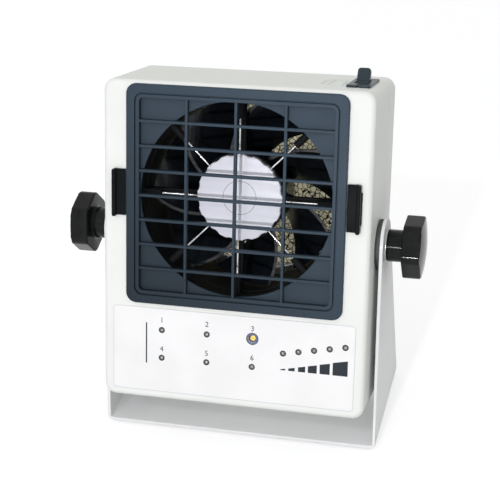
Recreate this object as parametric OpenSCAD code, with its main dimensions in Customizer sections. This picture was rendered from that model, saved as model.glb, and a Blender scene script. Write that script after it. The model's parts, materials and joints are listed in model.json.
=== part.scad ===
// Ionizing air blower: a moulded housing with an axial fan and eight needle emitters,
// hung by two clamp knobs between the arms of a bent steel bracket.
//
// Two frames are used. The stand frame has its origin on the bench under the tilt axis, +Z up,
// and the front of the blower faces -Y. The housing frame has its origin at the bottom edge of
// the front face, y runs back from that face and z runs up it; in_housing() turns it about the
// tilt axis into the stand frame.

/* [Housing] */
// Width of the housing on each side of the guard
side_margin = 14.5; // [13:0.5:22]
// Depth of the front shell, from the front face to the parting line
front_d = 50; // [46:1:60]
// Depth of the rear shell, from the parting line to the rear face
rear_d = 26; // [24:1:34]
// Wall thickness of both shells
wall = 2.5; // [2:0.1:3]
// Radius of the four corners in the front view
corner_r = 7; // [5:0.5:9]
// Radius of the front edges
edge_r = 3; // [2:0.5:4]
// Radius of the rear edges
rear_edge_r = 5; // [3:0.5:6]

/* [Stand] */
// Angle that the housing is tipped back from upright
rest_tilt = 15.5; // [0:0.5:30]
// Clearance over the base for the corner of the housing that swings lowest
swing_gap = 6.6; // [3:0.1:30]
// Depth of the bracket's base from front to back
base_d = 85; // [70:1:110]
// Thickness of the bracket's steel sheet
sheet_t = 2; // [1.5:0.1:3]
// Inner radius of the two bends
bend_r = 1.5; // [1:0.5:4]
// Radius of the rounded top of each arm
arm_r = 16; // [15.5:0.5:20]
// Thickness of the rubber sheet under the base
pad_t = 1.5; // [1:0.1:3]
// Distance of the rubber sheet from the base's edges
pad_inset = 4; // [2:0.5:8]
// Diameter of the two bench mounting holes
mount_hole_d = 5.5; // [4.5:0.5:6.5]
// Distance between the two bench mounting holes
mount_pitch = 120; // [80:1:130]
// Distance of the mounting holes behind the tilt axis
mount_back = 20; // [12:1:24]

/* [Tilt axis] */
// Height of the tilt axis above the bottom of the housing
pivot_up = 99.5; // [97:0.5:101]
// Distance of the tilt axis behind the front face
pivot_back = 30.5; // [29:0.5:33]
// Thickness of the friction washers
washer_t = 3; // [2:0.1:5]
// Diameter of the friction washers
washer_d = 30; // [24:1:31]
// Diameter of the clamp studs
stud_d = 6; // [5:0.5:6]
// Outer diameter of the threaded inserts
insert_d = 10; // [9:0.5:11]
// Length of the threaded inserts
insert_len = 12; // [9:0.5:13]

/* [Clamp knobs] */
// Size of the hexagonal grip across its corners, before they are rounded
knob_d = 39; // [34:1:42]
// Diameter of the circle that rounds the grip's corners
knob_round_d = 37; // [33:0.5:41]
// Thickness of the grip
knob_t = 12.5; // [9:0.5:15]
// Height of the crown of the grip's outer face
knob_crown = 2; // [1:0.5:3]
// Diameter of the knob's neck
neck_d = 19; // [16:0.5:21]
// Length of the knob's neck
neck_len = 10; // [6:0.5:14]
// Thickness of the plain washer under each knob
plain_washer_t = 0.8; // [0.5:0.1:1.5]
// Angle at which the right knob was left
right_knob_turn = 17; // [0:1:59]

/* [Front guard] */
// Width of the guard's bezel outside the fan on each side
guard_margin = 5.75; // [5:0.05:7]
// Distance from the top of the housing to the guard
guard_top = 2; // [2:0.5:6]
// Corner radius of the bezel
guard_r = 6; // [4:0.5:8]
// How far the bezel stands proud of the housing
guard_proud = 2; // [1.5:0.1:3]
// Width of the bezel's flat border outside the groove
border_w = 6; // [5:0.1:6.5]
// Width of the raised rim inside the groove
rim_w = 2; // [1.5:0.1:3]
// Number of columns of the grid
grid_cols = 4; // [3:1:6]
// Number of rows of the grid
grid_rows = 8; // [5:1:10]
// Width of a grid bar
bar_w = 1.7; // [1.2:0.1:2.2]
// Depth of a grid bar from front to back
bar_d = 3.2; // [2.8:0.1:3.6]
// Thickness of the plate with the round opening
plate_t = 1.8; // [1.2:0.1:2.2]
// Distance from the fan's edge to the round opening
duct_inset = 2.25; // [2:0.05:4]
// Height of the skirt that enters the housing
skirt_h = 6; // [5.6:0.1:6.4]
// Wall of the skirt
skirt_t = 1.5; // [1:0.1:1.8]

/* [Side latches] */
// Height of a latch
latch_h = 28.5; // [22:0.5:32]
// Width of a latch
latch_w = 8; // [7:0.5:9]
// Height of the latches' middle above the middle of the guard
latch_up = 0.8; // [-4:0.1:6]
// Width of the finger rib
rib_w = 2.6; // [2:0.1:3]
// How far the finger rib stands out of the housing
rib_proud = 4; // [3:0.5:5]
// Travel of a latch
latch_travel = 3; // [2:0.1:3]

/* [Fan] */
// Width and height of the fan frame
fan_w = 119.5; // [100:0.5:130]
// Distance from the front face to the fan
fan_back = 14; // [13:0.5:18]
// Depth of the fan frame
fan_d = 38; // [36:1:38]
// Distance from the fan's edge to its mounting holes
fan_hole_inset = 7.25; // [6.5:0.05:8]
// Number of fan blades
blades = 7; // [5:1:9]
// Twist of a blade from front to back, in degrees
blade_twist = 41; // [25:1:44]
// Angle that a blade leans round from its root to its tip
blade_sweep = 28; // [0:1:36]
// Angle of the first blade's root at the front
blade_start = 58; // [0:1:72]
// Thickness of a blade
blade_t = 1.8; // [1.4:0.1:2.4]
// Diameter of the rotor cup
rotor_d = 50; // [46:1:51]
// Radial clearance between the blade tips and the frame
tip_gap = 1; // [0.7:0.1:2]
// Diameter of the rotor shaft
shaft_d = 3; // [3:0.5:4]
// Number of struts that carry the motor
struts = 4; // [3:1:4]
// Width of a strut
strut_w = 4; // [3:0.5:6]
// Diameter of the white disc on the motor
hub_cap_d = 51.5; // [48:0.5:52]
// Thickness of the white disc
hub_cap_t = 3; // [2.5:0.1:3]
// Number of scallops round the white disc
scallops = 16; // [12:1:20]

/* [Emitters] */
// Number of needle emitters
needles = 8; // [4:1:8]
// Diameter of a needle
needle_d = 1.2; // [0.8:0.1:1.6]
// How far the needle tips reach over the white disc
needle_overlap = 1.25; // [-5:0.05:4]
// Length of the boss that holds a needle
needle_boss_len = 10.5; // [6:0.5:14]
// Diameter of the boss that holds a needle
needle_boss_d = 4.4; // [3.6:0.1:4.6]

/* [Front panel] */
// Distance from the side of the housing to the label panel
panel_side = 6; // [5.5:0.1:12]
// Height of the label panel
panel_h = 52.5; // [48:0.5:70]
// Height of the panel's bottom edge above the housing's
panel_up = 4.8; // [4:0.1:10]
// Distance from the panel's top edge to the guard
panel_gap = 2.7; // [2:0.1:10]
// Thickness of the label panel
panel_t = 0.3; // [0.2:0.05:0.5]
// Diameter of a lamp
lamp_d = 2.9; // [2.5:0.1:3]
// Height of the upper row of status lamps
lamp_row_hi = 43.8; // [42:0.1:45]
// Height of the lower row of status lamps
lamp_row_lo = 26.4; // [25:0.1:30]
// Distance between the columns of status lamps
lamp_col = 27.9; // [26:0.1:28.5]
// Distance between the speed lamps
speed_step = 9.25; // [8:0.05:9.3]
// Rise from one speed lamp to the next
speed_rise = 1.8; // [0:0.1:2]
// Diameter of the trimmer hole
trimmer_hole_d = 5.3; // [4.6:0.1:6]
// Diameter of the trimmer screw
trimmer_d = 3.2; // [2.6:0.1:3.6]

/* [Power switch] */
// Width of the switch frame
switch_w = 14; // [12:0.5:15]
// Length of the switch frame from front to back
switch_len = 34; // [30:0.5:36]
// Distance from the switch frame to the parting line
switch_gap = 1.5; // [1:0.1:6]
// Distance from the switch's middle to the side of the housing
switch_side = 13.2; // [13:0.1:15]
// Length of the paddle above its pivot
paddle_len = 12.5; // [9:0.5:14]
// Lean of the paddle to each side
paddle_lean = 25; // [15:1:28]

/* [Rear] */
// Width of the filter cover outside the fan on each side
cover_margin = 2.25; // [1:0.05:4]
// How far the filter cover stands out of the rear face
cover_proud = 5; // [4.5:0.1:7]
// Distance from the fan's edge to the round air inlet
inlet_inset = 3.25; // [3:0.05:6]
// Wall thickness of the filter cover
cover_t = 1.6; // [1.2:0.1:2.4]
// Number of bars across the filter cover
cover_bars = 11; // [7:1:13]

/* [Electronics] */
// Width of the high voltage module
hv_w = 48; // [30:1:52]
// Depth of the high voltage module
hv_d = 22; // [12:1:26]
// Height of the high voltage module
hv_h = 30; // [16:1:34]
// Diameter of the power inlet
jack_d = 9; // [8:0.5:10]

/* [Hidden] */
$fn = 48;
fit_gap = 0.05;      // between a piece and the seat it is fixed in
slide_gap = 0.3;     // between two bodies that move past each other
pin_gap = 0.05;      // radial clearance of a pin that turns in its bore
eps = 1;             // overrun of a cutting tool

body_d = front_d + rear_d;
guard_w = fan_w + 2 * guard_margin;
duct_d = fan_w - 2 * duct_inset;
fan_pitch = fan_w - 2 * fan_hole_inset;
cover_w = fan_w + 2 * cover_margin;
inlet_d = fan_w - 2 * inlet_inset;
foam_t = cover_proud - cover_t;
body_w = guard_w + 2 * side_margin;
body_h = panel_up + panel_h + panel_gap + guard_w + guard_top;
panel_w = body_w - 2 * panel_side;
swing_r = norm([body_d - pivot_back, max(pivot_up, body_h - pivot_up)]);
axis_h = sheet_t + swing_gap + swing_r;
in_w = body_w - 2 * wall;
floor_z = pad_t;
axis_z = pad_t + axis_h;
face_x = body_w / 2;
arm_in_x = face_x + washer_t;
arm_out_x = arm_in_x + sheet_t;

duct_z = body_h - guard_top - guard_w / 2;
span = guard_w - 2 * border_w - rim_w;
groove_w = 0.6;
groove_d = 0.9;
bar_y0 = 0.4 - guard_proud;
bar_y1 = bar_y0 + bar_d;
skirt_w = guard_w - 8;
opening_w = skirt_w + 2 * slide_gap;
duct_r = duct_d / 2;

fan_y0 = fan_back;
fan_y1 = fan_y0 + fan_d;
flange_t = 4;
fan_r = duct_r - 0.3;
shroud_t = 2.2;
post_d = 9;
base_r = hub_cap_d / 2 + 0.6;
cap_y = fan_y0 - hub_cap_t;
tube_r = 6;
tube_len = 22;
bearing_r = 4;
bearing_len = 4;
rotor_y0 = fan_y0 + flange_t + 1;
rotor_y1 = fan_y1 - 4;
rotor_wall = 1.6;
blade_y0 = rotor_y0 + 2;
blade_y1 = rotor_y1 - 1;
magnet_t = 2.4;

ring_flange_t = 3;
ring_y0 = skirt_h + 0.5;
ring_wall = 2;
needle_y = cap_y - needle_d / 2 - 0.6;
needle_tip_r = hub_cap_d / 2 - needle_overlap;
needle_boss_r = duct_r - needle_boss_len;
needle_r1 = needle_boss_r + 2.5;
small_screw_d = 3;

board_y = 6;
board_t = 1.6;
board_x0 = 15.5 - in_w / 2;
board_x1 = in_w / 2 - 5;
board_z0 = lamp_row_lo - 8.4;
board_z1 = lamp_row_hi + 10.2;
board_post_x = [board_x0 + 5, board_x1 - 6.5];
board_post_z = [board_z0 + 4, board_z1 - 4];
board_post_d = 6;
lamp_col_x = 30.6 - panel_w / 2;
trimmer_x = lamp_col_x + 2 * lamp_col;
speed_x = panel_w / 2 - 42.9;
speed_z = 36.6;
lamps = concat(
    [for (c = [0, 1]) for (z = [lamp_row_lo, lamp_row_hi]) [lamp_col_x + c * lamp_col, z]],
    [[trimmer_x, lamp_row_lo]],
    [for (i = [0:4]) [speed_x + i * speed_step, speed_z + i * speed_rise]]
);

case_post_x = face_x - 9;
case_post_z = [12, body_h - 25];
case_screw_d = 3.8;
case_head_d = 7;

latch_x0 = guard_w / 2 + 0.4;
latch_x1 = latch_x0 + latch_w;
latch_z0 = duct_z + latch_up - latch_h / 2;
latch_z1 = latch_z0 + latch_h;
leg_x0 = latch_x0 + 1.2;
leg_x1 = latch_x1 - 2.9;
leg_h = latch_h - 10;

switch_x = face_x - switch_side;
switch_mid = front_d - switch_gap - switch_len / 2;
switch_frame_t = 1.5;
switch_body_h = 14;
paddle_z = body_h - 2.5;
paddle_w = switch_w - 6.4;
barrel_r = 5;
pin_r = 1.4;

ground_x = 18 - face_x;
jack_x = ground_x + 18;
jack_z = 26;
jack_r = jack_d / 2;
hv_x = 16 - face_x;
hv_y = 24;

// ---------- frames and helpers ----------

// Puts a shape of the housing frame into the stand frame.
module in_housing() {
    translate([0, 0, axis_z]) rotate([-rest_tilt, 0, 0]) translate([0, -pivot_back, -pivot_up]) children();
}

// Centre of the fan, guard and emitters in the housing frame.
module on_duct() {
    translate([0, 0, duct_z]) children();
}

// Front view outline (x, z) pulled back along y.
module from_front(y0, y1) {
    translate([0, y1, 0]) rotate([90, 0, 0]) linear_extrude(y1 - y0) children();
}

// Side view outline (y, z) pulled along x.
module from_side(x0, x1) {
    translate([x0, 0, 0]) rotate([90, 0, 90]) linear_extrude(x1 - x0) children();
}

// Cylinder along +y from y0 to y1.
module rod_y(r, y0, y1) {
    translate([0, y0, 0]) rotate([-90, 0, 0]) cylinder(r = r, h = y1 - y0);
}

// Cylinder along +x from x0 to x1.
module rod_x(r, x0, x1) {
    translate([x0, 0, 0]) rotate([0, 90, 0]) cylinder(r = r, h = x1 - x0);
}

// Solid of revolution about the x axis; the outline is (radius, x).
module turned_x() {
    rotate([0, 90, 0]) rotate_extrude() children();
}

// Solid of revolution about the y axis; the outline is (radius, y).
module turned_y() {
    rotate([-90, 0, 0]) rotate_extrude() children();
}

// Rectangle centred on the origin, with corner radius r.
module round_rect(w, h, r) {
    square([w - 2 * r, h], center = true);
    square([w, h - 2 * r], center = true);
    for (x = [-1, 1], y = [-1, 1]) translate([x * (w / 2 - r), y * (h / 2 - r)]) circle(r = r);
}

// Rectangle from 0 to d along the first axis, with one radius at 0 and another at d.
module front_back_rect(d, h, front_r, back_r) {
    translate([front_r, -h / 2]) square([d - front_r - back_r, h]);
    translate([0, front_r - h / 2]) square([front_r + 1, h - 2 * front_r]);
    translate([d - back_r - 1, back_r - h / 2]) square([back_r + 1, h - 2 * back_r]);
    for (s = [-1, 1]) {
        translate([front_r, s * (h / 2 - front_r)]) circle(r = front_r);
        translate([d - back_r, s * (h / 2 - back_r)]) circle(r = back_r);
    }
}

// One copy at each corner of a square of the given pitch, in the front view.
module at_corners(pitch) {
    for (x = [-1, 1], z = [-1, 1]) translate([x * pitch / 2, 0, z * pitch / 2]) children();
}

// One copy at each case screw.
module at_case_posts() {
    for (s = [-1, 1], z = case_post_z) translate([s * case_post_x, 0, z]) children();
}

// One copy at each circuit board post.
module at_board_posts() {
    for (x = board_post_x, z = board_post_z) translate([x, 0, z]) children();
}

// Left and right copies of a shape drawn on the right, about the tilt axis of the housing frame.
module both_sides() {
    for (s = [0, 1]) mirror([s, 0, 0]) translate([0, pivot_back, pivot_up]) children();
}

// Pan head screw along +y; its head stands in front of y = 0 or, turned round, behind it.
module pan_screw(shank_d, len, head_d, head_h) {
    difference() {
        union() {
            rod_y(shank_d / 2, 0, len);
            rod_y(head_d / 2, -head_h, 0);
        }
        for (a = [0, 90]) rotate([0, a, 0])
            translate([-head_d * 0.32, -head_h - eps, -0.45]) cube([head_d * 0.64, eps + head_h * 0.55, 0.9]);
    }
}

// ---------- stand ----------

// Side view of an arm and the base: a taper from the base's depth to a round top.
module arm_outline() {
    half = base_d / 2;
    rise = axis_h - sheet_t - bend_r;
    dist = sqrt(half * half + rise * rise);
    lean = atan2(half, rise) - asin(arm_r / dist);
    tangent = [arm_r * cos(lean), axis_h + arm_r * sin(lean)];
    polygon([
        [-half, 0], [half, 0], [half, sheet_t + bend_r], tangent, [0, axis_h],
        [-tangent[0], tangent[1]], [-half, sheet_t + bend_r]
    ]);
    translate([0, axis_h]) circle(r = arm_r);
}

// Front view of the bent sheet: base, two bends and two arms.
module bracket_section() {
    top = axis_h + arm_r + eps;
    outer_r = bend_r + sheet_t;
    difference() {
        union() {
            translate([-arm_out_x, outer_r]) square([2 * arm_out_x, top - outer_r]);
            translate([-arm_out_x + outer_r, 0]) square([2 * (arm_out_x - outer_r), outer_r + 1]);
            for (s = [-1, 1]) translate([s * (arm_out_x - outer_r), outer_r]) circle(r = outer_r);
        }
        union() {
            translate([-arm_in_x, outer_r]) square([2 * arm_in_x, top]);
            translate([-arm_in_x + bend_r, sheet_t]) square([2 * (arm_in_x - bend_r), bend_r + 1]);
            for (s = [-1, 1]) translate([s * (arm_in_x - bend_r), outer_r]) circle(r = bend_r);
        }
    }
}

module stand_bracket() {
    color("white") translate([0, 0, pad_t]) difference() {
        intersection() {
            from_front(-base_d / 2 - eps, base_d / 2 + eps) bracket_section();
            from_side(-arm_out_x - eps, arm_out_x + eps) arm_outline();
        }
        translate([0, 0, axis_h]) rod_x(stud_d / 2 + slide_gap, -arm_out_x - eps, arm_out_x + eps);
        mount_holes(-eps, sheet_t + eps);
    }
}

module mount_holes(z0, z1) {
    for (s = [-1, 1]) translate([s * mount_pitch / 2, mount_back, z0])
        cylinder(d = mount_hole_d, h = z1 - z0);
}

module base_pad() {
    w = 2 * (arm_out_x - bend_r - sheet_t - pad_inset);
    d = base_d - 2 * pad_inset;
    color("dimgray") difference() {
        translate([-w / 2, -d / 2, 0]) cube([w, d, pad_t]);
        mount_holes(-eps, pad_t + eps);
    }
}

// ---------- housing shells ----------

// The closed outer form of the housing, with its rounded corners and edges.
module housing_form() {
    intersection() {
        from_front(0, body_d) translate([0, body_h / 2]) round_rect(body_w, body_h, corner_r);
        translate([0, 0, -eps]) rotate([0, 0, 90]) linear_extrude(body_h + 2 * eps)
            front_back_rect(body_d, body_w, edge_r, rear_edge_r);
        from_side(-face_x - eps, face_x + eps) translate([0, body_h / 2])
            front_back_rect(body_d, body_h, edge_r, rear_edge_r);
    }
}

// Post in a corner of the housing, joined to the side wall by a web.
module case_post(y0, y1) {
    at_case_posts() rod_y(post_d / 2, y0, y1);
    for (s = [-1, 1], z = case_post_z) {
        x0 = s > 0 ? case_post_x : -face_x + wall / 2;
        translate([x0, y0, z - 1.2]) cube([face_x - wall / 2 - case_post_x, y1 - y0, 2.4]);
    }
}

module front_shell() {
    color("whitesmoke") in_housing() difference() {
        union() {
            difference() {
                housing_form();
                translate([-in_w / 2, wall, wall]) cube([in_w, body_d, body_h - 2 * wall]);
                translate([-body_w, front_d, -body_h]) cube([2 * body_w, body_d, 3 * body_h]);
            }
            case_post(front_d - 16, front_d);
            at_board_posts() rod_y(board_post_d / 2, wall / 2, board_y);
            both_sides() rod_x(insert_d / 2 + 3, face_x - insert_len - 2, face_x - wall / 2);
        }
        on_duct() from_front(-eps, wall + eps) round_rect(opening_w, opening_w, 4);
        at_case_posts() rod_y(case_screw_d / 2 + fit_gap, front_d - 12, front_d + eps);
        at_board_posts() rod_y(1, wall / 2 + 1, board_y + eps);
        for (p = lamps) translate([p[0], 0, p[1]]) rod_y(lamp_d / 2 + fit_gap, -eps, wall + eps);
        translate([trimmer_x, 0, lamp_row_hi]) rod_y(trimmer_hole_d / 2, -eps, wall + eps);
        both_sides() rod_x(insert_d / 2 + fit_gap, face_x - insert_len, face_x + eps);
        for (s = [0, 1]) mirror([s, 0, 0]) latch_slot();
        switch_cutout();
        for (m = top_marks) translate([m[0], m[1], body_h - 0.4]) linear_extrude(1) mark(m[2], m[3]);
    }
}

// Two generic marks pressed into the top beside the switch: an open ring and a bar.
top_marks = [[51, 34, 14, 24], [41, 34, 4, 16]];
module mark(w, h) {
    difference() {
        round_rect(w, h, 1.8);
        if (w > 6) round_rect(w - 3, h - 3, 0.8);
    }
}

// Slot in the front wall for a latch's leg, over its whole travel.
module latch_slot() {
    translate([leg_x0 - slide_gap, -eps, latch_z0 + (latch_h - leg_h) / 2 - slide_gap])
        cube([leg_x1 - leg_x0 + latch_travel + 2 * slide_gap, wall + 2 * eps, leg_h + 2 * slide_gap]);
}

module switch_cutout() {
    w = switch_w - 2 + 2 * fit_gap;
    len = switch_len - 4 + 2 * fit_gap;
    translate([switch_x - w / 2, switch_mid - len / 2, body_h - wall - eps]) cube([w, len, wall + 2 * eps]);
}

module rear_shell() {
    color("whitesmoke") in_housing() difference() {
        union() {
            difference() {
                housing_form();
                translate([-in_w / 2, -eps, wall]) cube([in_w, body_d - wall + eps, body_h - 2 * wall]);
                translate([-body_w, -body_d, -body_h]) cube([2 * body_w, body_d + front_d, 3 * body_h]);
            }
            case_post(front_d, body_d - wall / 2);
            on_duct() at_corners(fan_pitch) rod_y(post_d / 2, fan_y1, body_d - wall / 2);
        }
        on_duct() rod_y(inlet_d / 2, body_d - wall - eps, body_d + eps);
        on_duct() at_corners(fan_pitch) rod_y(small_screw_d / 2 + fit_gap, fan_y1 - eps, fan_y1 + 12);
        at_case_posts() rod_y(case_screw_d / 2 + fit_gap, front_d - eps, body_d);
        at_case_posts() rod_y(case_head_d / 2 + slide_gap, front_d + 10, body_d + eps);
        translate([jack_x, 0, jack_z]) rod_y(jack_r + fit_gap, body_d - wall - eps, body_d + eps);
        translate([ground_x, 0, jack_z]) rod_y(2 + fit_gap, body_d - wall - eps, body_d + eps);
    }
}

module case_screws() {
    color("silver") in_housing() at_case_posts() translate([0, front_d + 10, 0]) mirror([0, 1, 0])
        pan_screw(case_screw_d, 21, case_head_d, 2.4);
}

// ---------- front panel and electronics ----------

module label_panel() {
    color("white") in_housing() difference() {
        from_front(-panel_t, 0) translate([0, panel_up + panel_h / 2]) round_rect(panel_w, panel_h, 2.5);
        for (p = lamps) translate([p[0], 0, p[1]]) rod_y(lamp_d / 2 + fit_gap, -eps, eps);
        translate([trimmer_x, 0, lamp_row_hi]) rod_y(trimmer_hole_d / 2, -eps, eps);
    }
}

module control_board() {
    color("darkgreen") in_housing() difference() {
        translate([board_x0, board_y, board_z0]) cube([board_x1 - board_x0, board_t, board_z1 - board_z0]);
        at_board_posts() rod_y(1.3, board_y - eps, board_y + board_t + eps);
    }
}

module board_screws() {
    color("silver") in_housing() at_board_posts() translate([0, board_y + board_t, 0]) mirror([0, 1, 0])
        pan_screw(1.9, 5, 4.4, 1.6);
}

module status_lamps() {
    color("lightgray") in_housing() for (p = lamps) translate([p[0], 0, p[1]]) {
        rod_y(lamp_d / 2, 0, board_y - 1);
        rod_y(lamp_d / 2 + 0.4, board_y - 1, board_y);
    }
}

module trimmer_body() {
    side = 6.6;
    color("steelblue") in_housing() translate([trimmer_x, 0, lamp_row_hi]) difference() {
        translate([-side / 2, wall + fit_gap, -side / 2]) cube([side, board_y - wall - fit_gap, side]);
        rod_y(trimmer_d / 2 + pin_gap, 0, board_y - 1.2);
    }
}

module trimmer_screw() {
    color("gold") in_housing() translate([trimmer_x, 0, lamp_row_hi]) difference() {
        rod_y(trimmer_d / 2, 1.4, board_y - 1.2);
        rotate([0, 35, 0]) translate([-trimmer_d, 1.4 - eps, -0.3]) cube([2 * trimmer_d, 0.7 + eps, 0.6]);
    }
}

module hv_module() {
    color("dimgray") in_housing() difference() {
        translate([hv_x, hv_y, wall]) cube([hv_w, hv_d, hv_h]);
        translate([hv_x + 4, hv_y + 4, wall + hv_h - 2]) cube([hv_w - 8, hv_d - 8, 2 + eps]);
    }
}

// ---------- fan ----------

module fan_flange(y0) {
    difference() {
        from_front(y0, y0 + flange_t) round_rect(fan_w, fan_w, 5);
        at_corners(fan_pitch) rod_y(small_screw_d / 2 + fit_gap, y0 - eps, y0 + flange_t + eps);
    }
}

module fan_frame() {
    color("#1c1c1e") in_housing() on_duct() difference() {
        union() {
            difference() {
                union() {
                    fan_flange(fan_y0);
                    fan_flange(fan_y1 - flange_t);
                    rod_y(fan_r + shroud_t, fan_y0 + 1, fan_y1 - 1);
                }
                rod_y(fan_r, fan_y0 - eps, fan_y1 + eps);
            }
            for (i = [0:struts - 1]) rotate([0, i * 360 / struts, 0])
                translate([-strut_w / 2, fan_y0, base_r - 1]) cube([strut_w, flange_t, fan_r + 2 - base_r]);
            rod_y(base_r, fan_y0, fan_y0 + flange_t);
            rod_y(tube_r, fan_y0 + 1, fan_y0 + tube_len);
        }
        rod_y(bearing_r + fit_gap, fan_y0 + flange_t, fan_y0 + tube_len + eps);
    }
}

module hub_cap() {
    scallop_r = 6;
    depth = 0.8;
    color("lavender") in_housing() on_duct() difference() {
        union() {
            rod_y(hub_cap_d / 2, cap_y + 0.6, fan_y0);
            rod_y(hub_cap_d / 2 - 0.6, cap_y, fan_y0);
        }
        for (i = [0:scallops - 1]) rotate([0, (i + 0.5) * 360 / scallops, 0])
            translate([0, 0, hub_cap_d / 2 + scallop_r - depth]) rod_y(scallop_r, cap_y - eps, fan_y0 + eps);
        turned_y() translate([9.8, cap_y - 0.1]) square([0.4, 0.3]);
    }
}

module fan_stator() {
    teeth = 6;
    y0 = fan_y0 + flange_t + 4;
    y1 = fan_y0 + tube_len - 1;
    outer = rotor_d / 2 - rotor_wall - magnet_t - 1;
    color("peru") in_housing() on_duct() difference() {
        rod_y(outer, y0, y1);
        rod_y(tube_r + fit_gap, y0 - eps, y1 + eps);
        for (i = [0:teeth - 1]) rotate([0, i * 360 / teeth, 0])
            translate([-1.2, y0 - eps, tube_r + 4]) cube([2.4, y1 - y0 + 2 * eps, outer]);
    }
}

// Two ball bearings in the motor tube, one at each end.
module fan_bearings() {
    color("silver") in_housing() on_duct() for (y = [fan_y0 + flange_t, fan_y0 + tube_len - bearing_len])
        difference() {
            rod_y(bearing_r, y, y + bearing_len);
            rod_y(shaft_d / 2 + pin_gap, y - eps, y + bearing_len + eps);
        }
}

module fan_screws() {
    color("silver") in_housing() on_duct() at_corners(fan_pitch) translate([0, fan_y1 - flange_t, 0])
        pan_screw(small_screw_d, 14, 6, 2.2);
}

// One blade: a strip that leans round from root to tip, swept round and back.
module blade(tip_r) {
    len = blade_y1 - blade_y0;
    root_r = rotor_d / 2 - 0.8;
    steps = 4;
    span = tip_r - root_r;
    function reach(i) = root_r + span * i / steps;
    function lean(i) = blade_sweep * i / steps;
    // Half the angle that the blade's thickness takes at a step.
    function half_angle(i) = atan((i == steps ? blade_t / 4 : blade_t / 2)
        * sqrt(1 + pow(reach(i) * blade_sweep * PI / 180 / span, 2)) / reach(i));
    function corner(i, side) = let (a = lean(i) + side * half_angle(i)) [reach(i) * cos(a), reach(i) * sin(a)];
    translate([0, blade_y0, 0]) rotate([-90, 0, 0]) rotate(-blade_start)
        linear_extrude(len, twist = -blade_twist, slices = 8, segments = 2 * steps + 2)
            polygon(concat([for (i = [0:steps]) corner(i, -1)], [for (i = [steps:-1:0]) corner(i, 1)]));
}

module impeller() {
    tip_r = fan_r - tip_gap;
    color("#202124") in_housing() on_duct() {
        difference() {
            union() {
                rod_y(rotor_d / 2, rotor_y0, rotor_y1);
                for (i = [0:blades - 1]) rotate([0, i * 360 / blades, 0]) blade(tip_r);
            }
            rod_y(rotor_d / 2 - rotor_wall, rotor_y0 - eps, rotor_y1 - 2.5);
            rod_y(shaft_d / 2 + fit_gap / 2, rotor_y1 - 3, rotor_y1 + eps);
        }
    }
}

module fan_shaft() {
    color("silver") in_housing() on_duct() rod_y(shaft_d / 2, fan_y0 + flange_t + 0.3, rotor_y1);
}

module rotor_magnet() {
    r = rotor_d / 2 - rotor_wall - fit_gap;
    color("dimgray") in_housing() on_duct() difference() {
        rod_y(r, rotor_y0 + 2, rotor_y1 - 2.5);
        rod_y(r - magnet_t, rotor_y0, rotor_y1);
    }
}

// ---------- emitters ----------

// One copy at each needle, with the shape drawn along +z from the fan axis.
module at_needles() {
    for (i = [0:needles - 1]) rotate([0, i * 360 / needles, 0]) translate([0, needle_y, 0]) children();
}

module emitter_ring() {
    color("#18181a") in_housing() on_duct() difference() {
        union() {
            difference() {
                union() {
                    rod_y(duct_r + ring_wall, ring_y0, fan_y0);
                    from_front(fan_y0 - ring_flange_t, fan_y0) round_rect(fan_w, fan_w, 5);
                }
                rod_y(duct_r, ring_y0 - eps, fan_y0 + eps);
            }
            at_needles() translate([0, 0, needle_boss_r])
                cylinder(d = needle_boss_d, h = needle_boss_len + 1);
        }
        at_needles() translate([0, 0, needle_boss_r - eps])
            cylinder(d = needle_d + 2 * fit_gap, h = needle_r1 + 3 - needle_boss_r);
        at_corners(fan_pitch) rod_y(small_screw_d / 2 + fit_gap, fan_y0 - ring_flange_t - eps, fan_y0 + eps);
    }
}

module emitter_needles() {
    color("silver") in_housing() on_duct() at_needles() {
        translate([0, 0, needle_tip_r]) cylinder(d1 = 0.3, d2 = needle_d, h = 4);
        translate([0, 0, needle_tip_r + 4]) cylinder(d = needle_d, h = needle_r1 + 1.5 - needle_tip_r - 4);
    }
}

module emitter_screws() {
    color("silver") in_housing() on_duct() at_corners(fan_pitch) translate([0, fan_y0 - ring_flange_t, 0])
        pan_screw(small_screw_d - 0.1, ring_flange_t + flange_t - 0.5, 5.6, 1.8);
}

// ---------- rear ----------

module filter_cover() {
    y1 = body_d + cover_proud;
    in_w2 = cover_w - 2 * cover_t;
    step = (cover_w - 10) / (cover_bars + 1);
    open_w = cover_w - 10;
    color("whitesmoke") in_housing() on_duct() {
        difference() {
            from_front(body_d, y1) round_rect(cover_w, cover_w, 7);
            from_front(body_d - eps, y1 - cover_t) round_rect(in_w2, in_w2, 5.4);
            from_front(y1 - cover_t - eps, y1 + eps) round_rect(open_w, open_w, 4);
        }
        for (i = [1:cover_bars]) translate([-open_w / 2 - 1, y1 - cover_t, i * step - open_w / 2 - 0.9])
            cube([open_w + 2, cover_t, 1.8]);
        for (x = [-1, 0, 1]) translate([x * open_w / 4 - 0.9, y1 - cover_t, -open_w / 2 - 1])
            cube([1.8, cover_t, open_w + 2]);
    }
}

module filter_foam() {
    w = cover_w - 2 * cover_t - 0.6;
    color("#2a2a2a") in_housing() on_duct()
        from_front(body_d, body_d + foam_t - 0.05) round_rect(w, w, 5);
}

module dc_inlet() {
    color("black") in_housing() translate([jack_x, 0, jack_z]) {
        difference() {
            union() {
                rod_y(jack_r, body_d - wall, body_d + 0.6);
                translate([-jack_r - 0.5, body_d - wall - 10, -6]) cube([jack_d + 1, 10, 12]);
            }
            rod_y(jack_r - 1.4, body_d - wall - 8, body_d + 2);
        }
        rod_y(1, body_d - wall - 9, body_d - 0.5);
    }
}

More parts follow.
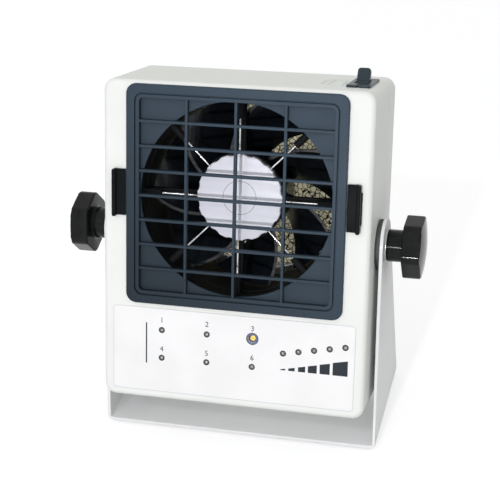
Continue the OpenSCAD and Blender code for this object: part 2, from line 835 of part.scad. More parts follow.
module ground_screw() {
    color("silver") in_housing() translate([ground_x, body_d, jack_z]) {
        difference() {
            rod_y(4, 0, 0.8);
            rod_y(2, -eps, 2);
        }
        translate([0, 0.8, 0]) mirror([0, 1, 0]) pan_screw(3.9, 12, 7, 2.6);
        difference() {
            translate([0, -wall - 3.2, 0]) rotate([-90, 30, 0]) cylinder(d = 8, h = 3.2, $fn = 6);
            rod_y(2, -wall - 5, 0);
        }
    }
}

// ---------- power switch ----------

module switch_body() {
    z0 = body_h - switch_body_h;
    slot_w = paddle_w + 2 * slide_gap;
    slot_len = 2 * (barrel_r + 3.4);
    color("#2c2f34") in_housing() translate([switch_x, switch_mid, 0]) difference() {
        union() {
            translate([0, 0, body_h]) difference() {
                linear_extrude(switch_frame_t) round_rect(switch_w, switch_len, 1);
                translate([0, -switch_len / 2, switch_frame_t]) rotate([0, 45, 0])
                    cube([1.6, 3, 1.6], center = true);
            }
            translate([-switch_w / 2 + 1, -switch_len / 2 + 2, z0])
                cube([switch_w - 2, switch_len - 4, switch_body_h]);
        }
        translate([-slot_w / 2, -slot_len / 2, z0 + 2]) cube([slot_w, slot_len, body_h]);
        translate([0, 0, paddle_z]) rod_x(pin_r + pin_gap, -slot_w / 2 - 1.3, slot_w / 2 + 1.3);
    }
}

module switch_paddle() {
    color("#23262b") in_housing() translate([switch_x, switch_mid, paddle_z]) rotate([-paddle_lean, 0, 0]) {
        rod_x(barrel_r, -paddle_w / 2, paddle_w / 2);
        rod_x(pin_r, -paddle_w / 2 - 1.4, paddle_w / 2 + 1.4);
        from_side(-paddle_w / 2, paddle_w / 2) polygon([
            [-3.4, 0], [3.4, 0], [2.2, paddle_len - 1], [1.2, paddle_len],
            [-1.2, paddle_len], [-2.2, paddle_len - 1]
        ]);
    }
}

// ---------- tilt axis ----------

module pivot_inserts() {
    color("goldenrod") in_housing() both_sides() difference() {
        rod_x(insert_d / 2, face_x - insert_len, face_x);
        rod_x(stud_d / 2, face_x - insert_len - eps, face_x + eps);
    }
}

module friction_washers() {
    color("#4a4c50") in_housing() both_sides() difference() {
        rod_x(washer_d / 2, face_x, arm_in_x - fit_gap);
        rod_x(stud_d / 2 + slide_gap, face_x - eps, arm_in_x + eps);
    }
}

// One knob: a hexagonal grip with rounded corners and a crowned face, on a round neck.
module knob_form() {
    x0 = arm_out_x + plain_washer_t;
    x1 = x0 + neck_len;
    x2 = x1 + knob_t;
    r = knob_round_d / 2;
    crown_r = (r * r + knob_crown * knob_crown) / (2 * knob_crown);
    difference() {
        union() {
            rod_x(neck_d / 2, x0, x1 + 1);
            intersection() {
                rod_x(r, x1, x2);
                translate([x1, 0, 0]) rotate([0, 90, 0]) cylinder(d = knob_d, h = knob_t, $fn = 6);
                translate([x2 - crown_r, 0, 0]) sphere(r = crown_r);
            }
        }
        rod_x(stud_d / 2, x0 - eps, x0 + neck_len + 3);
    }
}

// Stud that is moulded into a knob and screws into the housing's insert.
module stud_form() {
    rod_x(stud_d / 2 - pin_gap, face_x - insert_len + 2, arm_out_x + plain_washer_t);
    rod_x(stud_d / 2 - fit_gap / 2, arm_out_x + plain_washer_t, arm_out_x + plain_washer_t + neck_len + 2.8);
}

module plain_washer() {
    difference() {
        rod_x(neck_d / 2 - 0.3, arm_out_x, arm_out_x + plain_washer_t);
        rod_x(stud_d / 2 + slide_gap, arm_out_x - eps, arm_out_x + plain_washer_t + eps);
    }
}

// Side pieces are drawn on the right; left() mirrors them.
module right_of_axis() {
    translate([0, 0, axis_z]) rotate([-rest_tilt, 0, 0]) children();
}
module left_of_axis() {
    mirror([1, 0, 0]) right_of_axis() children();
}

module knob_left() {
    color("#101012") left_of_axis() knob_form();
}
module knob_right() {
    color("#101012") right_of_axis() rotate([right_knob_turn, 0, 0]) knob_form();
}
module stud_left() {
    color("silver") left_of_axis() stud_form();
}
module stud_right() {
    color("silver") right_of_axis() stud_form();
}
module knob_washer_left() {
    color("silver") left_of_axis() plain_washer();
}
module knob_washer_right() {
    color("silver") right_of_axis() plain_washer();
}

// ---------- guard and latches ----------

module guard() {
    rim_out = span + rim_w;
    rim_in = span - rim_w;
    color("slategray") in_housing() on_duct() {
        difference() {
            from_front(-guard_proud, 0) round_rect(guard_w, guard_w, guard_r);
            from_front(-guard_proud - eps, groove_d - guard_proud) difference() {
                round_rect(rim_out + 2 * groove_w, rim_out + 2 * groove_w, 4.6);
                round_rect(rim_out, rim_out, 4);
            }
            from_front(-guard_proud - eps, eps) round_rect(rim_in, rim_in, 2.5);
        }
        difference() {
            from_front(-0.1, skirt_h) round_rect(skirt_w, skirt_w, 3.7);
            from_front(-eps, skirt_h + eps) round_rect(skirt_w - 2 * skirt_t, skirt_w - 2 * skirt_t, 2.2);
        }
        for (i = [1:grid_cols - 1]) translate([(i / grid_cols - 0.5) * span - bar_w / 2, bar_y0, -span / 2])
            cube([bar_w, bar_d, span]);
        for (i = [1:grid_rows - 1]) translate([-span / 2, bar_y0, (i / grid_rows - 0.5) * span - bar_w / 2])
            cube([span, bar_d, bar_w]);
    }
}

module guard_plate() {
    w = skirt_w - 2 * skirt_t - 2 * fit_gap;
    color("slategray") in_housing() on_duct() difference() {
        from_front(bar_y1, bar_y1 + plate_t) round_rect(w, w, 2.1);
        rod_y(duct_r, 0, skirt_h);
    }
}

// One latch, drawn on the right: a cover plate with a finger rib, a leg and a retaining bar.
module latch_form() {
    notch = 2.5;
    cut_d = 2 * (rib_proud + wall + skirt_h);
    difference() {
        union() {
            translate([latch_x0, -1.8, latch_z0 + 0.8]) cube([latch_w - 1, 1.7, latch_h - 0.8]);
            translate([latch_x1 - rib_w, -rib_proud, latch_z0]) cube([rib_w, rib_proud - 0.1, latch_h]);
            translate([leg_x0, -1, latch_z0 + (latch_h - leg_h) / 2])
                cube([leg_x1 - leg_x0, wall + slide_gap + 2.4, leg_h]);
            translate([leg_x0, wall + slide_gap, latch_z0 + 2]) cube([leg_x1 - leg_x0, 1.4, latch_h - 4]);
        }
        translate([latch_x1, 0, latch_z1]) rotate([0, 45, 0]) cube([notch, cut_d, notch], center = true);
        translate([latch_x1, 0, latch_z0]) rotate([0, 45, 0])
            cube([notch * 0.6, cut_d, notch * 0.6], center = true);
    }
}

module latch_left() {
    color("#0e0f11") in_housing() mirror([1, 0, 0]) latch_form();
}
module latch_right() {
    color("#0e0f11") in_housing() latch_form();
}

stand_bracket();
base_pad();
front_shell();
rear_shell();
case_screws();
label_panel();
control_board();
board_screws();
status_lamps();
trimmer_body();
trimmer_screw();
hv_module();
fan_frame();
hub_cap();
fan_stator();
fan_bearings();
fan_screws();
impeller();
fan_shaft();
rotor_magnet();
emitter_ring();
emitter_needles();
emitter_screws();
filter_foam();
filter_cover();
switch_body();
switch_paddle();
dc_inlet();
ground_screw();
pivot_inserts();
friction_washers();
guard();
guard_plate();
latch_left();
latch_right();
knob_left();
knob_right();
stud_left();
stud_right();
knob_washer_left();
knob_washer_right();
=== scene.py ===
import json
import math

import bmesh
import bpy
from mathutils import Euler, Matrix, Vector


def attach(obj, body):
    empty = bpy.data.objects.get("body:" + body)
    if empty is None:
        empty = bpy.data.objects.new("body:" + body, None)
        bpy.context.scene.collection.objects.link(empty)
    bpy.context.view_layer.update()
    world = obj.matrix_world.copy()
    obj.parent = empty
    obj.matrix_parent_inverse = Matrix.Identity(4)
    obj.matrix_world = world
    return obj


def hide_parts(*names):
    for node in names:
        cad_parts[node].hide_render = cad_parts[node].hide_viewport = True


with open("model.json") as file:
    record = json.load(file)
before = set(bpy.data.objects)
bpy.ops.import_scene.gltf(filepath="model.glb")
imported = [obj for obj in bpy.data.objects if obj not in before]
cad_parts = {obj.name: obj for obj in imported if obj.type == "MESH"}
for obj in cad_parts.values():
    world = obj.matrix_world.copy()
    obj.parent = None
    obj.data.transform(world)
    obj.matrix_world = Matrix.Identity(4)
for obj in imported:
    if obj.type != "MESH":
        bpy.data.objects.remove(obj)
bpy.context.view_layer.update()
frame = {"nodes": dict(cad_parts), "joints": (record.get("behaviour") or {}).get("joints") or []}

bl_info = {
    "name": "Ionizing Blower",
    "version": (1, 0, 0),
    "blender": (4, 5, 0),
    "location": "3D View > Sidebar > Blower",
    "description": "Dresses the benchtop ionizing blower and lights it on a pale floor",
    "category": "Object",
}

MM = 0.001
JOINTS = {joint["name"]: joint for joint in frame["joints"]}
PIVOT = Vector(JOINTS["tilt"]["pos_m"])
BACK = Vector(JOINTS["fan_spin"]["axis"]).normalized()
UP = Vector((1, 0, 0)).cross(BACK)
FAN_POINT = Vector(JOINTS["fan_spin"]["pos_m"])
LEAN = Matrix((Vector((1, 0, 0)), BACK, UP)).transposed().to_4x4()


# ---------- sizes and colours that a user may change ----------


def size(name, millimetres, description):
    return bpy.props.FloatProperty(
        name=name, description=description, default=millimetres * MM, unit="LENGTH", precision=5, min=0.0
    )


def count(name, number, description):
    return bpy.props.IntProperty(name=name, description=description, default=number, min=1)


def angle(name, degrees, description):
    return bpy.props.FloatProperty(
        name=name, description=description, default=math.radians(degrees), unit="ROTATION", subtype="ANGLE"
    )


def colour(name, red, green, blue, description):
    return bpy.props.FloatVectorProperty(
        name=name, description=description, default=(red, green, blue), subtype="COLOR", min=0.0, max=1.0
    )


class BlowerSizes(bpy.types.PropertyGroup):
    """Sizes of the dressed pieces; they follow the solids of the frame"""

    pivot_back: size("Pivot depth", 30.5, "Distance of the tilt axis behind the front face")
    pivot_up: size("Pivot height", 99.5, "Height of the tilt axis above the bottom of the housing")
    body_w: size("Housing width", 160, "Width of the housing")
    body_h: size("Housing height", 193, "Height of the housing")
    front_d: size("Front shell depth", 50, "Depth of the front shell")
    body_d: size("Housing depth", 76, "Depth of both shells together")
    wall: size("Wall", 2.5, "Wall thickness of the shells")
    corner_r: size("Corner radius", 7, "Corner radius of the housing in the front view")
    edge_r: size("Front edge radius", 3, "Radius of the front edges")
    rear_edge_r: size("Rear edge radius", 5, "Radius of the rear edges")
    pad_t: size("Pad thickness", 1.5, "Thickness of the rubber sheet under the base")
    sheet_t: size("Sheet thickness", 2, "Thickness of the bracket's sheet")
    bend_r: size("Bend radius", 1.5, "Inner radius of the bracket's bends")
    base_d: size("Base depth", 85, "Depth of the bracket's base")
    arm_r: size("Arm radius", 16, "Radius of the rounded top of an arm")
    washer_t: size("Friction washer", 3, "Thickness of the friction washers")
    washer_d: size("Friction washer diameter", 30, "Diameter of the friction washers")
    guard_w: size("Guard width", 131, "Width and height of the guard's bezel")
    guard_proud: size("Guard height", 2, "How far the bezel stands out of the housing")
    border_w: size("Bezel border", 6, "Width of the flat border outside the groove")
    rim_w: size("Bezel rim", 2, "Width of the rim inside the groove")
    bar_w: size("Bar width", 1.7, "Width of a grid bar")
    bar_d: size("Bar depth", 3.2, "Depth of a grid bar")
    plate_t: size("Plate thickness", 1.8, "Thickness of the plate with the round opening")
    duct_d: size("Duct diameter", 115, "Diameter of the round opening")
    hub_d: size("Hub disc diameter", 51.5, "Diameter of the scalloped disc")
    rotor_d: size("Rotor diameter", 50, "Diameter of the rotor cup")
    blade_t: size("Blade thickness", 1.8, "Thickness of a fan blade")
    latch_h: size("Latch height", 28.5, "Height of a latch")
    panel_w: size("Panel width", 148, "Width of the label panel")
    panel_h: size("Panel height", 52.5, "Height of the label panel")
    panel_up: size("Panel place", 4.8, "Height of the panel's bottom edge")
    knob_d: size("Knob across corners", 39, "Size of the grip across its sharp corners")
    knob_t: size("Knob thickness", 12.5, "Thickness of the grip")
    neck_d: size("Neck diameter", 19, "Diameter of the knob's neck")
    neck_len: size("Neck length", 10, "Length of the knob's neck")
    grid_cols: count("Grid columns", 4, "Columns of the guard's grid")
    grid_rows: count("Grid rows", 8, "Rows of the guard's grid")
    blades: count("Blades", 7, "Number of fan blades")
    blade_start: angle("First blade", 58, "Place of the first blade's root at the front")
    blade_sweep: angle("Blade sweep", 28, "How far a blade leans round from root to tip")
    blade_twist: angle("Blade twist", 41, "How far a blade turns from front to back")
    scallops: count("Scallops", 16, "Scallops round the hub disc")


class BlowerColours(bpy.types.PropertyGroup):
    """Colours of the blower's finishes"""

    housing: colour("Housing", 0.843, 0.86, 0.832, "Moulded housing")
    bracket: colour("Bracket", 0.895, 0.90, 0.905, "Powder coated bracket")
    label: colour("Label", 0.885, 0.885, 0.885, "Label film")
    ink: colour("Ink", 0.020, 0.027, 0.035, "Printing on the label")
    guard: colour("Guard", 0.018, 0.029, 0.041, "Slate guard")
    knob: colour("Knobs", 0.006, 0.007, 0.0065, "Phenolic knobs")
    latch: colour("Latches", 0.0035, 0.005, 0.0065, "Latches")
    fan: colour("Fan", 0.008, 0.009, 0.010, "Fan frame")
    rotor: colour("Impeller", 0.006, 0.008, 0.011, "Impeller")
    hub: colour("Hub disc", 0.80, 0.81, 0.90, "Scalloped hub disc")
    # Foam colour, also used for the foam's painted glow in place of light from behind.
    foam: colour("Foam", 0.93, 0.88, 0.62, "Lit cells of the filter foam")
    washer: colour("Friction washers", 0.085, 0.09, 0.09, "Friction washers")
    switch: colour("Switch", 0.036, 0.052, 0.066, "Power switch")
    floor: colour("Floor", 0.60, 0.60, 0.61, "Floor under the blower")


class Millimetres:
    """Reads the lengths in millimetres and the angles in degrees."""

    def __init__(self, group):
        self._group = group

    def __getattr__(self, name):
        value = getattr(self._group, name)
        if isinstance(value, int):
            return value
        rule = self._group.bl_rna.properties[name]
        return math.degrees(value) if rule.unit == "ROTATION" else value / MM


def sizes():
    return Millimetres(bpy.context.scene.blower_sizes)


def colours():
    return bpy.context.scene.blower_colours


# ---------- frames ----------


def stand_frame():
    """Millimetres of the stand: the same axes as the frame."""
    return Matrix.Scale(MM, 4)


def housing_frame():
    """Millimetres of the housing: x right, y back from the front face, z up from its bottom."""
    s = sizes()
    start = PIVOT - (BACK * s.pivot_back + UP * s.pivot_up) * MM
    return Matrix.Translation(start) @ LEAN @ Matrix.Scale(MM, 4)


def fan_frame():
    """Millimetres of the housing, centred on the fan axis."""
    return housing_frame() @ Matrix.Translation((0, 0, duct_z()))


def knob_frame(side):
    """Millimetres about the tilt axis; x points out of the housing on that side."""
    return Matrix.Translation(PIVOT) @ LEAN @ Matrix.Diagonal((side, 1, 1, 1)) @ Matrix.Scale(MM, 4)


def duct_z():
    """Height of the fan axis above the bottom of the housing."""
    return (FAN_POINT - PIVOT).dot(UP) / MM + sizes().pivot_up


# ---------- modelling ----------


NEAR = 1e-4  # millimetres within which two places count as one


class Form:
    """A closed form that bmesh operators shape, in millimetres."""

    def __init__(self):
        self.bm = bmesh.new()

    def mesh(self, name="form"):
        """A new mesh of the form."""
        mesh = bpy.data.meshes.new(name)
        self.bm.to_mesh(mesh)
        return mesh

    def add(self, other):
        """Puts another form beside or into this one, with no boolean."""
        mesh = other.mesh()
        self.bm.from_mesh(mesh)
        bpy.data.meshes.remove(mesh)
        return self

    def _combine(self, other, operation):
        objects = [bpy.data.objects.new("form", form.mesh()) for form in (self, other)]
        for obj in objects:
            bpy.context.scene.collection.objects.link(obj)
        cut = objects[0].modifiers.new("cut", "BOOLEAN")
        cut.operation, cut.object, cut.solver = operation, objects[1], "EXACT"
        graph = bpy.context.evaluated_depsgraph_get()
        made = bpy.data.meshes.new_from_object(objects[0].evaluated_get(graph))
        if not made.polygons:
            raise RuntimeError("a cut left nothing of the form")
        self.bm.clear()
        self.bm.from_mesh(made)
        bpy.data.meshes.remove(made)
        for obj in objects:
            mesh = obj.data
            bpy.data.objects.remove(obj)
            bpy.data.meshes.remove(mesh)
        return self

    def cut(self, other):
        """Takes another form away."""
        return self._combine(other, "DIFFERENCE")

    def keep(self, other):
        """Keeps what lies inside another form."""
        return self._combine(other, "INTERSECT")

    def join(self, other):
        """Unites the form with another one."""
        return self._combine(other, "UNION")

    def edges(self, axis, at=None, above=-math.inf, below=math.inf):
        """Edges along an axis, or edges in the plane of a value on it, that lie between two heights."""
        found = []
        for edge in self.bm.edges:
            a, b = edge.verts[0].co, edge.verts[1].co
            if at is None:
                fits = abs(abs((b - a).normalized()[axis]) - 1) < NEAR
            else:
                fits = abs(a[axis] - at) < NEAR and abs(b[axis] - at) < NEAR
            if fits and above < min(a.z, b.z) and max(a.z, b.z) < below:
                found.append(edge)
        return found

    def bevel(self, edges, width, segments=4):
        bmesh.ops.bevel(
            self.bm, geom=edges, offset=width, offset_type="OFFSET", segments=segments, profile=0.5,
            affect="EDGES", material=-1, clamp_overlap=False,
        )
        return self

    def move(self, matrix):
        bmesh.ops.transform(self.bm, matrix=matrix, verts=self.bm.verts)
        return self


def block(low, high, corner=0.0, along=1, rim=0.0, rim_at=None, steps=6):
    """A box from low to high: its edges along an axis are rounded by corner, its edges at rim_at by rim."""
    form = Form()
    low, high = Vector(low), Vector(high)
    middle, spread = (low + high) / 2, high - low
    bmesh.ops.create_cube(form.bm, size=1.0)
    form.move(Matrix.Translation(middle) @ Matrix.Diagonal((*spread, 1)))
    if corner:
        form.bevel(form.edges(along), corner, steps)
    if rim:
        form.bevel(form.edges(along, rim_at), rim)
    return form


AXIS_TURNS = {
    0: Matrix.Rotation(math.radians(90), 4, "Y"),
    1: Matrix.Rotation(math.radians(-90), 4, "X"),
    2: Matrix.Identity(4),
}


def rod(radius, start, end, at=(0, 0), axis=1, sides=48):
    """A rod along an axis, centred on the other two coordinates."""
    form = Form()
    bmesh.ops.create_cone(
        form.bm, cap_ends=True, cap_tris=False, segments=sides, radius1=radius, radius2=radius,
        depth=end - start,
    )
    centre = list(at)
    centre.insert(axis, (start + end) / 2)
    return form.move(Matrix.Translation(centre) @ AXIS_TURNS[axis])


def turned(outline, axis=1, at=(0, 0), steps=64, closed=True):
    """An outline of (radius, place) points spun round an axis."""
    form = Form()
    verts = [form.bm.verts.new((r, 0, h)) for r, h in outline]
    edges = [form.bm.edges.new(pair) for pair in zip(verts, verts[1:])]
    if closed:
        edges.append(form.bm.edges.new((verts[-1], verts[0])))
    bmesh.ops.spin(
        form.bm, geom=verts + edges, cent=(0, 0, 0), axis=(0, 0, 1), angle=2 * math.pi, steps=steps,
        use_merge=True,
    )
    bmesh.ops.remove_doubles(form.bm, verts=form.bm.verts, dist=NEAR)
    bmesh.ops.recalc_face_normals(form.bm, faces=form.bm.faces)
    centre = list(at)
    centre.insert(axis, 0)
    return form.move(Matrix.Translation(centre) @ AXIS_TURNS[axis])


def piece(name, form, place, material, body, nodes=(), edge=0.0, smooth=32, steps=2):
    """Makes the form an object in the frame that rides on a body and stands for CAD nodes."""
    if place.determinant() < 0:
        bmesh.ops.reverse_faces(form.bm, faces=form.bm.faces)
    form.move(place)
    bmesh.ops.remove_doubles(form.bm, verts=form.bm.verts, dist=NEAR * MM)
    for face in form.bm.faces:
        face.smooth = True
    mesh = form.mesh(name)
    mesh.set_sharp_from_angle(angle=math.radians(smooth))
    mesh.materials.append(material)
    obj = bpy.data.objects.new(name, mesh)
    bpy.context.scene.collection.objects.link(obj)
    if edge:
        rounded = obj.modifiers.new("edges", "BEVEL")
        rounded.width, rounded.segments = edge * MM, steps
        rounded.limit_method, rounded.angle_limit = "ANGLE", math.radians(smooth)
        rounded.use_clamp_overlap = False
        even = obj.modifiers.new("even", "WEIGHTED_NORMAL")
        even.keep_sharp = True
    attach(obj, body)
    if nodes:
        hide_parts(*nodes)
    return obj


# ---------- materials ----------


class Signal:
    """A socket of numbers that takes part in Python arithmetic."""

    def __init__(self, nodes, socket):
        self.nodes, self.socket = nodes, socket

    def _with(self, operation, *values):
        return self.nodes.math(operation, *values)

    def __add__(self, other):
        return self._with("ADD", self, other)

    def __sub__(self, other):
        return self._with("SUBTRACT", self, other)

    def __rsub__(self, other):
        return self._with("SUBTRACT", other, self)

    def __mul__(self, other):
        return self._with("MULTIPLY", self, other)

    __radd__ = __add__
    __rmul__ = __mul__


class Nodes:
    """Adds nodes to a tree by a single method."""

    def __init__(self, tree):
        self.tree = tree

    def feed(self, socket, value):
        """Links a socket to a signal or an output, or gives it a value."""
        if isinstance(value, Signal):
            value = value.socket
        if isinstance(value, bpy.types.NodeSocket):
            self.tree.links.new(value, socket)
        else:
            socket.default_value = value

    def make(self, kind, settings=None, **inputs):
        """Adds a node: its settings first, then the values or links of its sockets by name or place."""
        node = self.tree.nodes.new(kind)
        for key, value in (settings or {}).items():
            setattr(node, key, value)
        for key, value in inputs.items():
            spot = int(key[1:]) if key[0] == "_" else key.replace("_", " ")
            self.feed(node.inputs[spot], value)
        return node

    def math(self, operation, *values):
        sockets = {f"_{place}": value for place, value in enumerate(values)}
        return Signal(self, self.make("ShaderNodeMath", {"operation": operation}, **sockets).outputs[0])

    def band(self, value, low, high, out_low=0.0, out_high=1.0):
        """Smooth step of a value from one level to another."""
        node = self.make(
            "ShaderNodeMapRange", {"interpolation_type": "SMOOTHSTEP"}, Value=value, From_Min=low,
            From_Max=high, To_Min=out_low, To_Max=out_high,
        )
        return Signal(self, node.outputs["Result"])

    def seen_directly(self):
        """One for camera, glossy and transmission rays, else zero."""
        rays = self.make("ShaderNodeLightPath").outputs
        seen = self.math("MAXIMUM", rays["Is Camera Ray"], rays["Is Glossy Ray"])
        return self.math("MAXIMUM", seen, rays["Is Transmission Ray"])


class Paint(Nodes):
    """One material, with the patterns and tones that the finishes share."""

    def __init__(self, name, base, rough, metal=0.0, coat=0.0, coat_rough=0.05, specular=0.5):
        self.material = bpy.data.materials.new(name)
        self.material.use_nodes = True
        super().__init__(self.material.node_tree)
        self.shader = self.tree.nodes["Principled BSDF"]
        self.base = (*base, 1.0)
        self.set("Base Color", self.base)
        self.set("Roughness", rough)
        self.set("Metallic", metal)
        self.set("Coat Weight", coat)
        self.set("Coat Roughness", coat_rough)
        self.set("Specular IOR Level", specular)
        self.material.diffuse_color = self.base

    def set(self, socket, value):
        self.feed(self.shader.inputs[socket], value)

    def place(self, scale=(1, 1, 1), turn=(0, 0, 0)):
        """Object coordinates, turned by degrees and scaled."""
        spot = self.make("ShaderNodeTexCoord").outputs["Object"]
        radians = tuple(math.radians(degrees) for degrees in turn)
        return self.make("ShaderNodeMapping", Vector=spot, Rotation=radians, Scale=scale).outputs[0]

    def noise(self, scale, detail=2.0, rough=0.5, where=None, distort=0.0):
        node = self.make(
            "ShaderNodeTexNoise", Vector=where or self.place(), Scale=scale, Detail=detail, Roughness=rough,
            Distortion=distort,
        )
        return Signal(self, node.outputs["Fac"])

    def mix(self, share, one, other):
        """Colour mix."""
        node = self.make("ShaderNodeMix", {"data_type": "RGBA"}, _0=share, _6=one, _7=other)
        return node.outputs[2]

    def shades(self, share, darker, lighter, tint=(1, 1, 1)):
        """The base colour between a darker, tinted tone and a lighter one."""
        dark = tuple(min(1, c * darker * t) for c, t in zip(self.base, tint)) + (1.0,)
        light = tuple(min(1, c * lighter) for c in self.base[:3]) + (1.0,)
        self.set("Base Color", self.mix(share, dark, light))

    def bump(self, height, distance, strength):
        node = self.make("ShaderNodeBump", Height=height, Strength=strength, Distance=distance)
        self.set("Normal", node.outputs[0])


def moulded(name, base, rough=0.42, grain=1400, depth=0.00003, coat=0.0, specular=0.5, spread=0.06):
    """Moulded plastic: a fine eroded grain, faint flow tones that differ by spread, and uneven gloss."""
    paint = Paint(name, base, rough, coat=coat, specular=specular)
    fine = paint.noise(grain, 2, 0.6)
    cloud = paint.noise(28, 3, 0.55)
    share = paint.band(cloud * 0.75 + fine * 0.25, 0.3, 0.7)
    paint.shades(share, 1 - spread, 1 + spread * 0.6, (0.99, 1.0, 0.99))
    paint.set("Roughness", paint.band(cloud, 0.25, 0.75, rough - 0.05, rough + 0.07))
    paint.bump(fine, depth, 0.6)
    return paint.material


def painted_sheen_moulded(name, base):
    """Slate plastic with a painted sheen: paler towards its upper right where the light falls, with a fine
    eroded grain.
    """
    paint = Paint(name, base, 0.42, specular=0.14)
    fine, cloud = paint.noise(1700, 2, 0.6), paint.noise(28, 3, 0.55)
    place = paint.make("ShaderNodeSeparateXYZ", _0=paint.place()).outputs
    # Painted sheen: the tone grows paler towards the upper right, standing in for the light that falls there.
    rise = Signal(paint, place["X"]) * 0.9 + Signal(paint, place["Z"]) * 1.1
    paint.shades(paint.band(rise + cloud * 0.02 + fine * 0.006, -0.02, 0.28), 0.62, 2.15, (1.0, 0.97, 0.95))
    paint.set("Roughness", paint.band(cloud, 0.25, 0.75, 0.38, 0.5))
    paint.bump(fine, 0.00004, 0.6)
    return paint.material


def powder_coat(name, base):
    """Powder coat: orange peel with fine specks."""
    paint = Paint(name, base, 0.42, specular=0.45)
    peel = paint.noise(520, 2, 0.45)
    speck = paint.noise(2600, 1, 0.5)
    cloud = paint.noise(18, 2, 0.5)
    paint.shades(paint.band(cloud * 0.7 + speck * 0.3, 0.32, 0.68), 0.96, 1.03)
    paint.set("Roughness", paint.band(peel, 0.3, 0.7, 0.36, 0.5))
    paint.bump(peel * 0.8 + speck * 0.2, 0.00004, 0.5)
    return paint.material


def phenolic(name, base):
    """Polished black phenolic: a clear skin, faint swirls and hairline scratches."""
    paint = Paint(name, base, 0.12, coat=0.03, coat_rough=0.03, specular=0.14)
    swirl = paint.noise(70, 4, 0.6, distort=1.2)
    hair = paint.noise(900, 2, 0.5, where=paint.place(scale=(0.12, 1, 1), turn=(20, 35, 10)))
    paint.shades(paint.band(swirl, 0.35, 0.7), 0.8, 1.8)
    paint.set("Roughness", paint.band(swirl * 0.6 + hair * 0.4, 0.35, 0.7, 0.08, 0.2))
    paint.bump(hair * 0.3 + swirl * 0.7, 0.00003, 0.35)
    return paint.material


def metal(name, base, rough, cell=420):
    """Bare or plated metal with drawn streaks and dull patches."""
    paint = Paint(name, base, rough, metal=1.0)
    streak = paint.noise(cell, 3, 0.6, where=paint.place(scale=(1, 1, 14)))
    patch = paint.noise(160, 3, 0.6)
    paint.shades(paint.band(patch * 0.5 + streak * 0.5, 0.3, 0.7), 0.8, 1.08)
    paint.set("Roughness", paint.band(streak * 0.5 + patch * 0.5, 0.3, 0.7, rough - 0.08, rough + 0.14))
    paint.bump(streak, 0.00002, 0.4)
    return paint.material


def rubber(name, base):
    """Matt rubber or fibre with a film of dust."""
    paint = Paint(name, base, 0.78, specular=0.3)
    grain = paint.noise(1100, 3, 0.6)
    dust = paint.noise(60, 4, 0.6)
    paint.shades(paint.band(dust, 0.4, 0.72), 0.9, 1.5)
    paint.set("Roughness", paint.band(grain, 0.3, 0.7, 0.68, 0.88))
    paint.bump(grain, 0.00005, 0.6)
    return paint.material


def painted_glow_foam(name, base):
    """Open cell foam: pale cells between black strands of uneven width, with a painted glow in place of the
    light from behind.
    """
    paint = Paint(name, base, 0.7, specular=0.2)
    wander = paint.noise(240, 3, 0.6)
    cells_per_metre, sway = 330.0, 0.0022
    wobble = paint.make("ShaderNodeTexNoise", Vector=paint.place(), Scale=300.0, Detail=2.0).outputs["Color"]
    shift = paint.make("ShaderNodeVectorMath", {"operation": "SCALE"}, _0=wobble, Scale=sway).outputs[0]
    spot = paint.make("ShaderNodeVectorMath", {"operation": "ADD"}, _0=paint.place(), _1=shift).outputs[0]
    strands = {"feature": "DISTANCE_TO_EDGE"}
    net = paint.make("ShaderNodeTexVoronoi", strands, Vector=spot, Scale=cells_per_metre)
    cells = paint.make("ShaderNodeTexVoronoi", {"feature": "F1"}, Vector=spot, Scale=cells_per_metre)
    tone = paint.make("ShaderNodeSeparateColor", _0=cells.outputs["Color"]).outputs[0]
    open_cell = paint.band(Signal(paint, net.outputs[0]) - wander * 0.09, 0.0, 0.055)
    dark = (0.01, 0.01, 0.011, 1.0)
    pale = paint.mix(tone, tuple(c * 0.62 for c in base) + (1.0,), paint.base)
    shade = paint.mix(open_cell, dark, pale)
    paint.set("Base Color", shade)
    # Painted light: the foam glows in its own colour in place of the light that shines through it from
    # behind.
    paint.set("Emission Color", shade)
    paint.set("Emission Strength", 0.3)
    paint.bump(open_cell, 0.0006, 0.8)
    return paint.material


def circuit_board(name, base):
    """Green solder mask with copper tracks under it."""
    paint = Paint(name, base, 0.3, coat=0.3)
    upright = paint.place(turn=(90, 0, 0))
    tracks = paint.make("ShaderNodeTexBrick", {"offset": 0.5}, Vector=upright, Scale=140.0, Mortar_Size=0.06)
    lane = Signal(paint, tracks.outputs["Fac"])
    cloud = paint.noise(90, 2)
    paint.shades(paint.band(lane * 0.7 + cloud * 0.3, 0.2, 0.8), 0.7, 1.9)
    paint.bump(lane, 0.00006, 0.6)
    return paint.material


def winding(name, base):
    """Coils of enamelled wire."""
    paint = Paint(name, base, 0.32, metal=0.8, coat=0.4)
    bands = {"wave_type": "BANDS", "bands_direction": "Z"}
    wire = paint.make("ShaderNodeTexWave", bands, Vector=paint.place(), Scale=900.0, Distortion=1.2)
    turns = Signal(paint, wire.outputs["Fac"])
    paint.shades(paint.band(turns, 0.1, 0.9), 0.55, 1.15)
    paint.set("Roughness", paint.band(turns, 0.0, 1.0, 0.42, 0.24))
    paint.bump(turns, 0.0002, 0.8)
    return paint.material


def resin_lamp(name, base):
    """Unlit lamp of cloudy resin."""
    paint = Paint(name, base, 0.22, coat=0.5, specular=0.6)
    cloud = paint.noise(700, 3, 0.6)
    paint.shades(paint.band(cloud, 0.3, 0.7), 0.7, 1.2, (1.0, 1.0, 0.94))
    paint.set("Roughness", paint.band(cloud, 0.3, 0.7, 0.16, 0.3))
    paint.bump(cloud, 0.00003, 0.4)
    return paint.material


def film(name, base):
    """Smooth printed film with a faint ripple."""
    paint = Paint(name, base, 0.34, specular=0.45)
    ripple = paint.noise(45, 2, 0.4)
    fine = paint.noise(2400, 1, 0.5)
    paint.shades(paint.band(ripple * 0.8 + fine * 0.2, 0.3, 0.7), 0.975, 1.02)
    paint.set("Roughness", paint.band(ripple, 0.3, 0.7, 0.3, 0.4))
    paint.bump(ripple * 0.7 + fine * 0.3, 0.00002, 0.4)
    return paint.material


FINISHES = {}


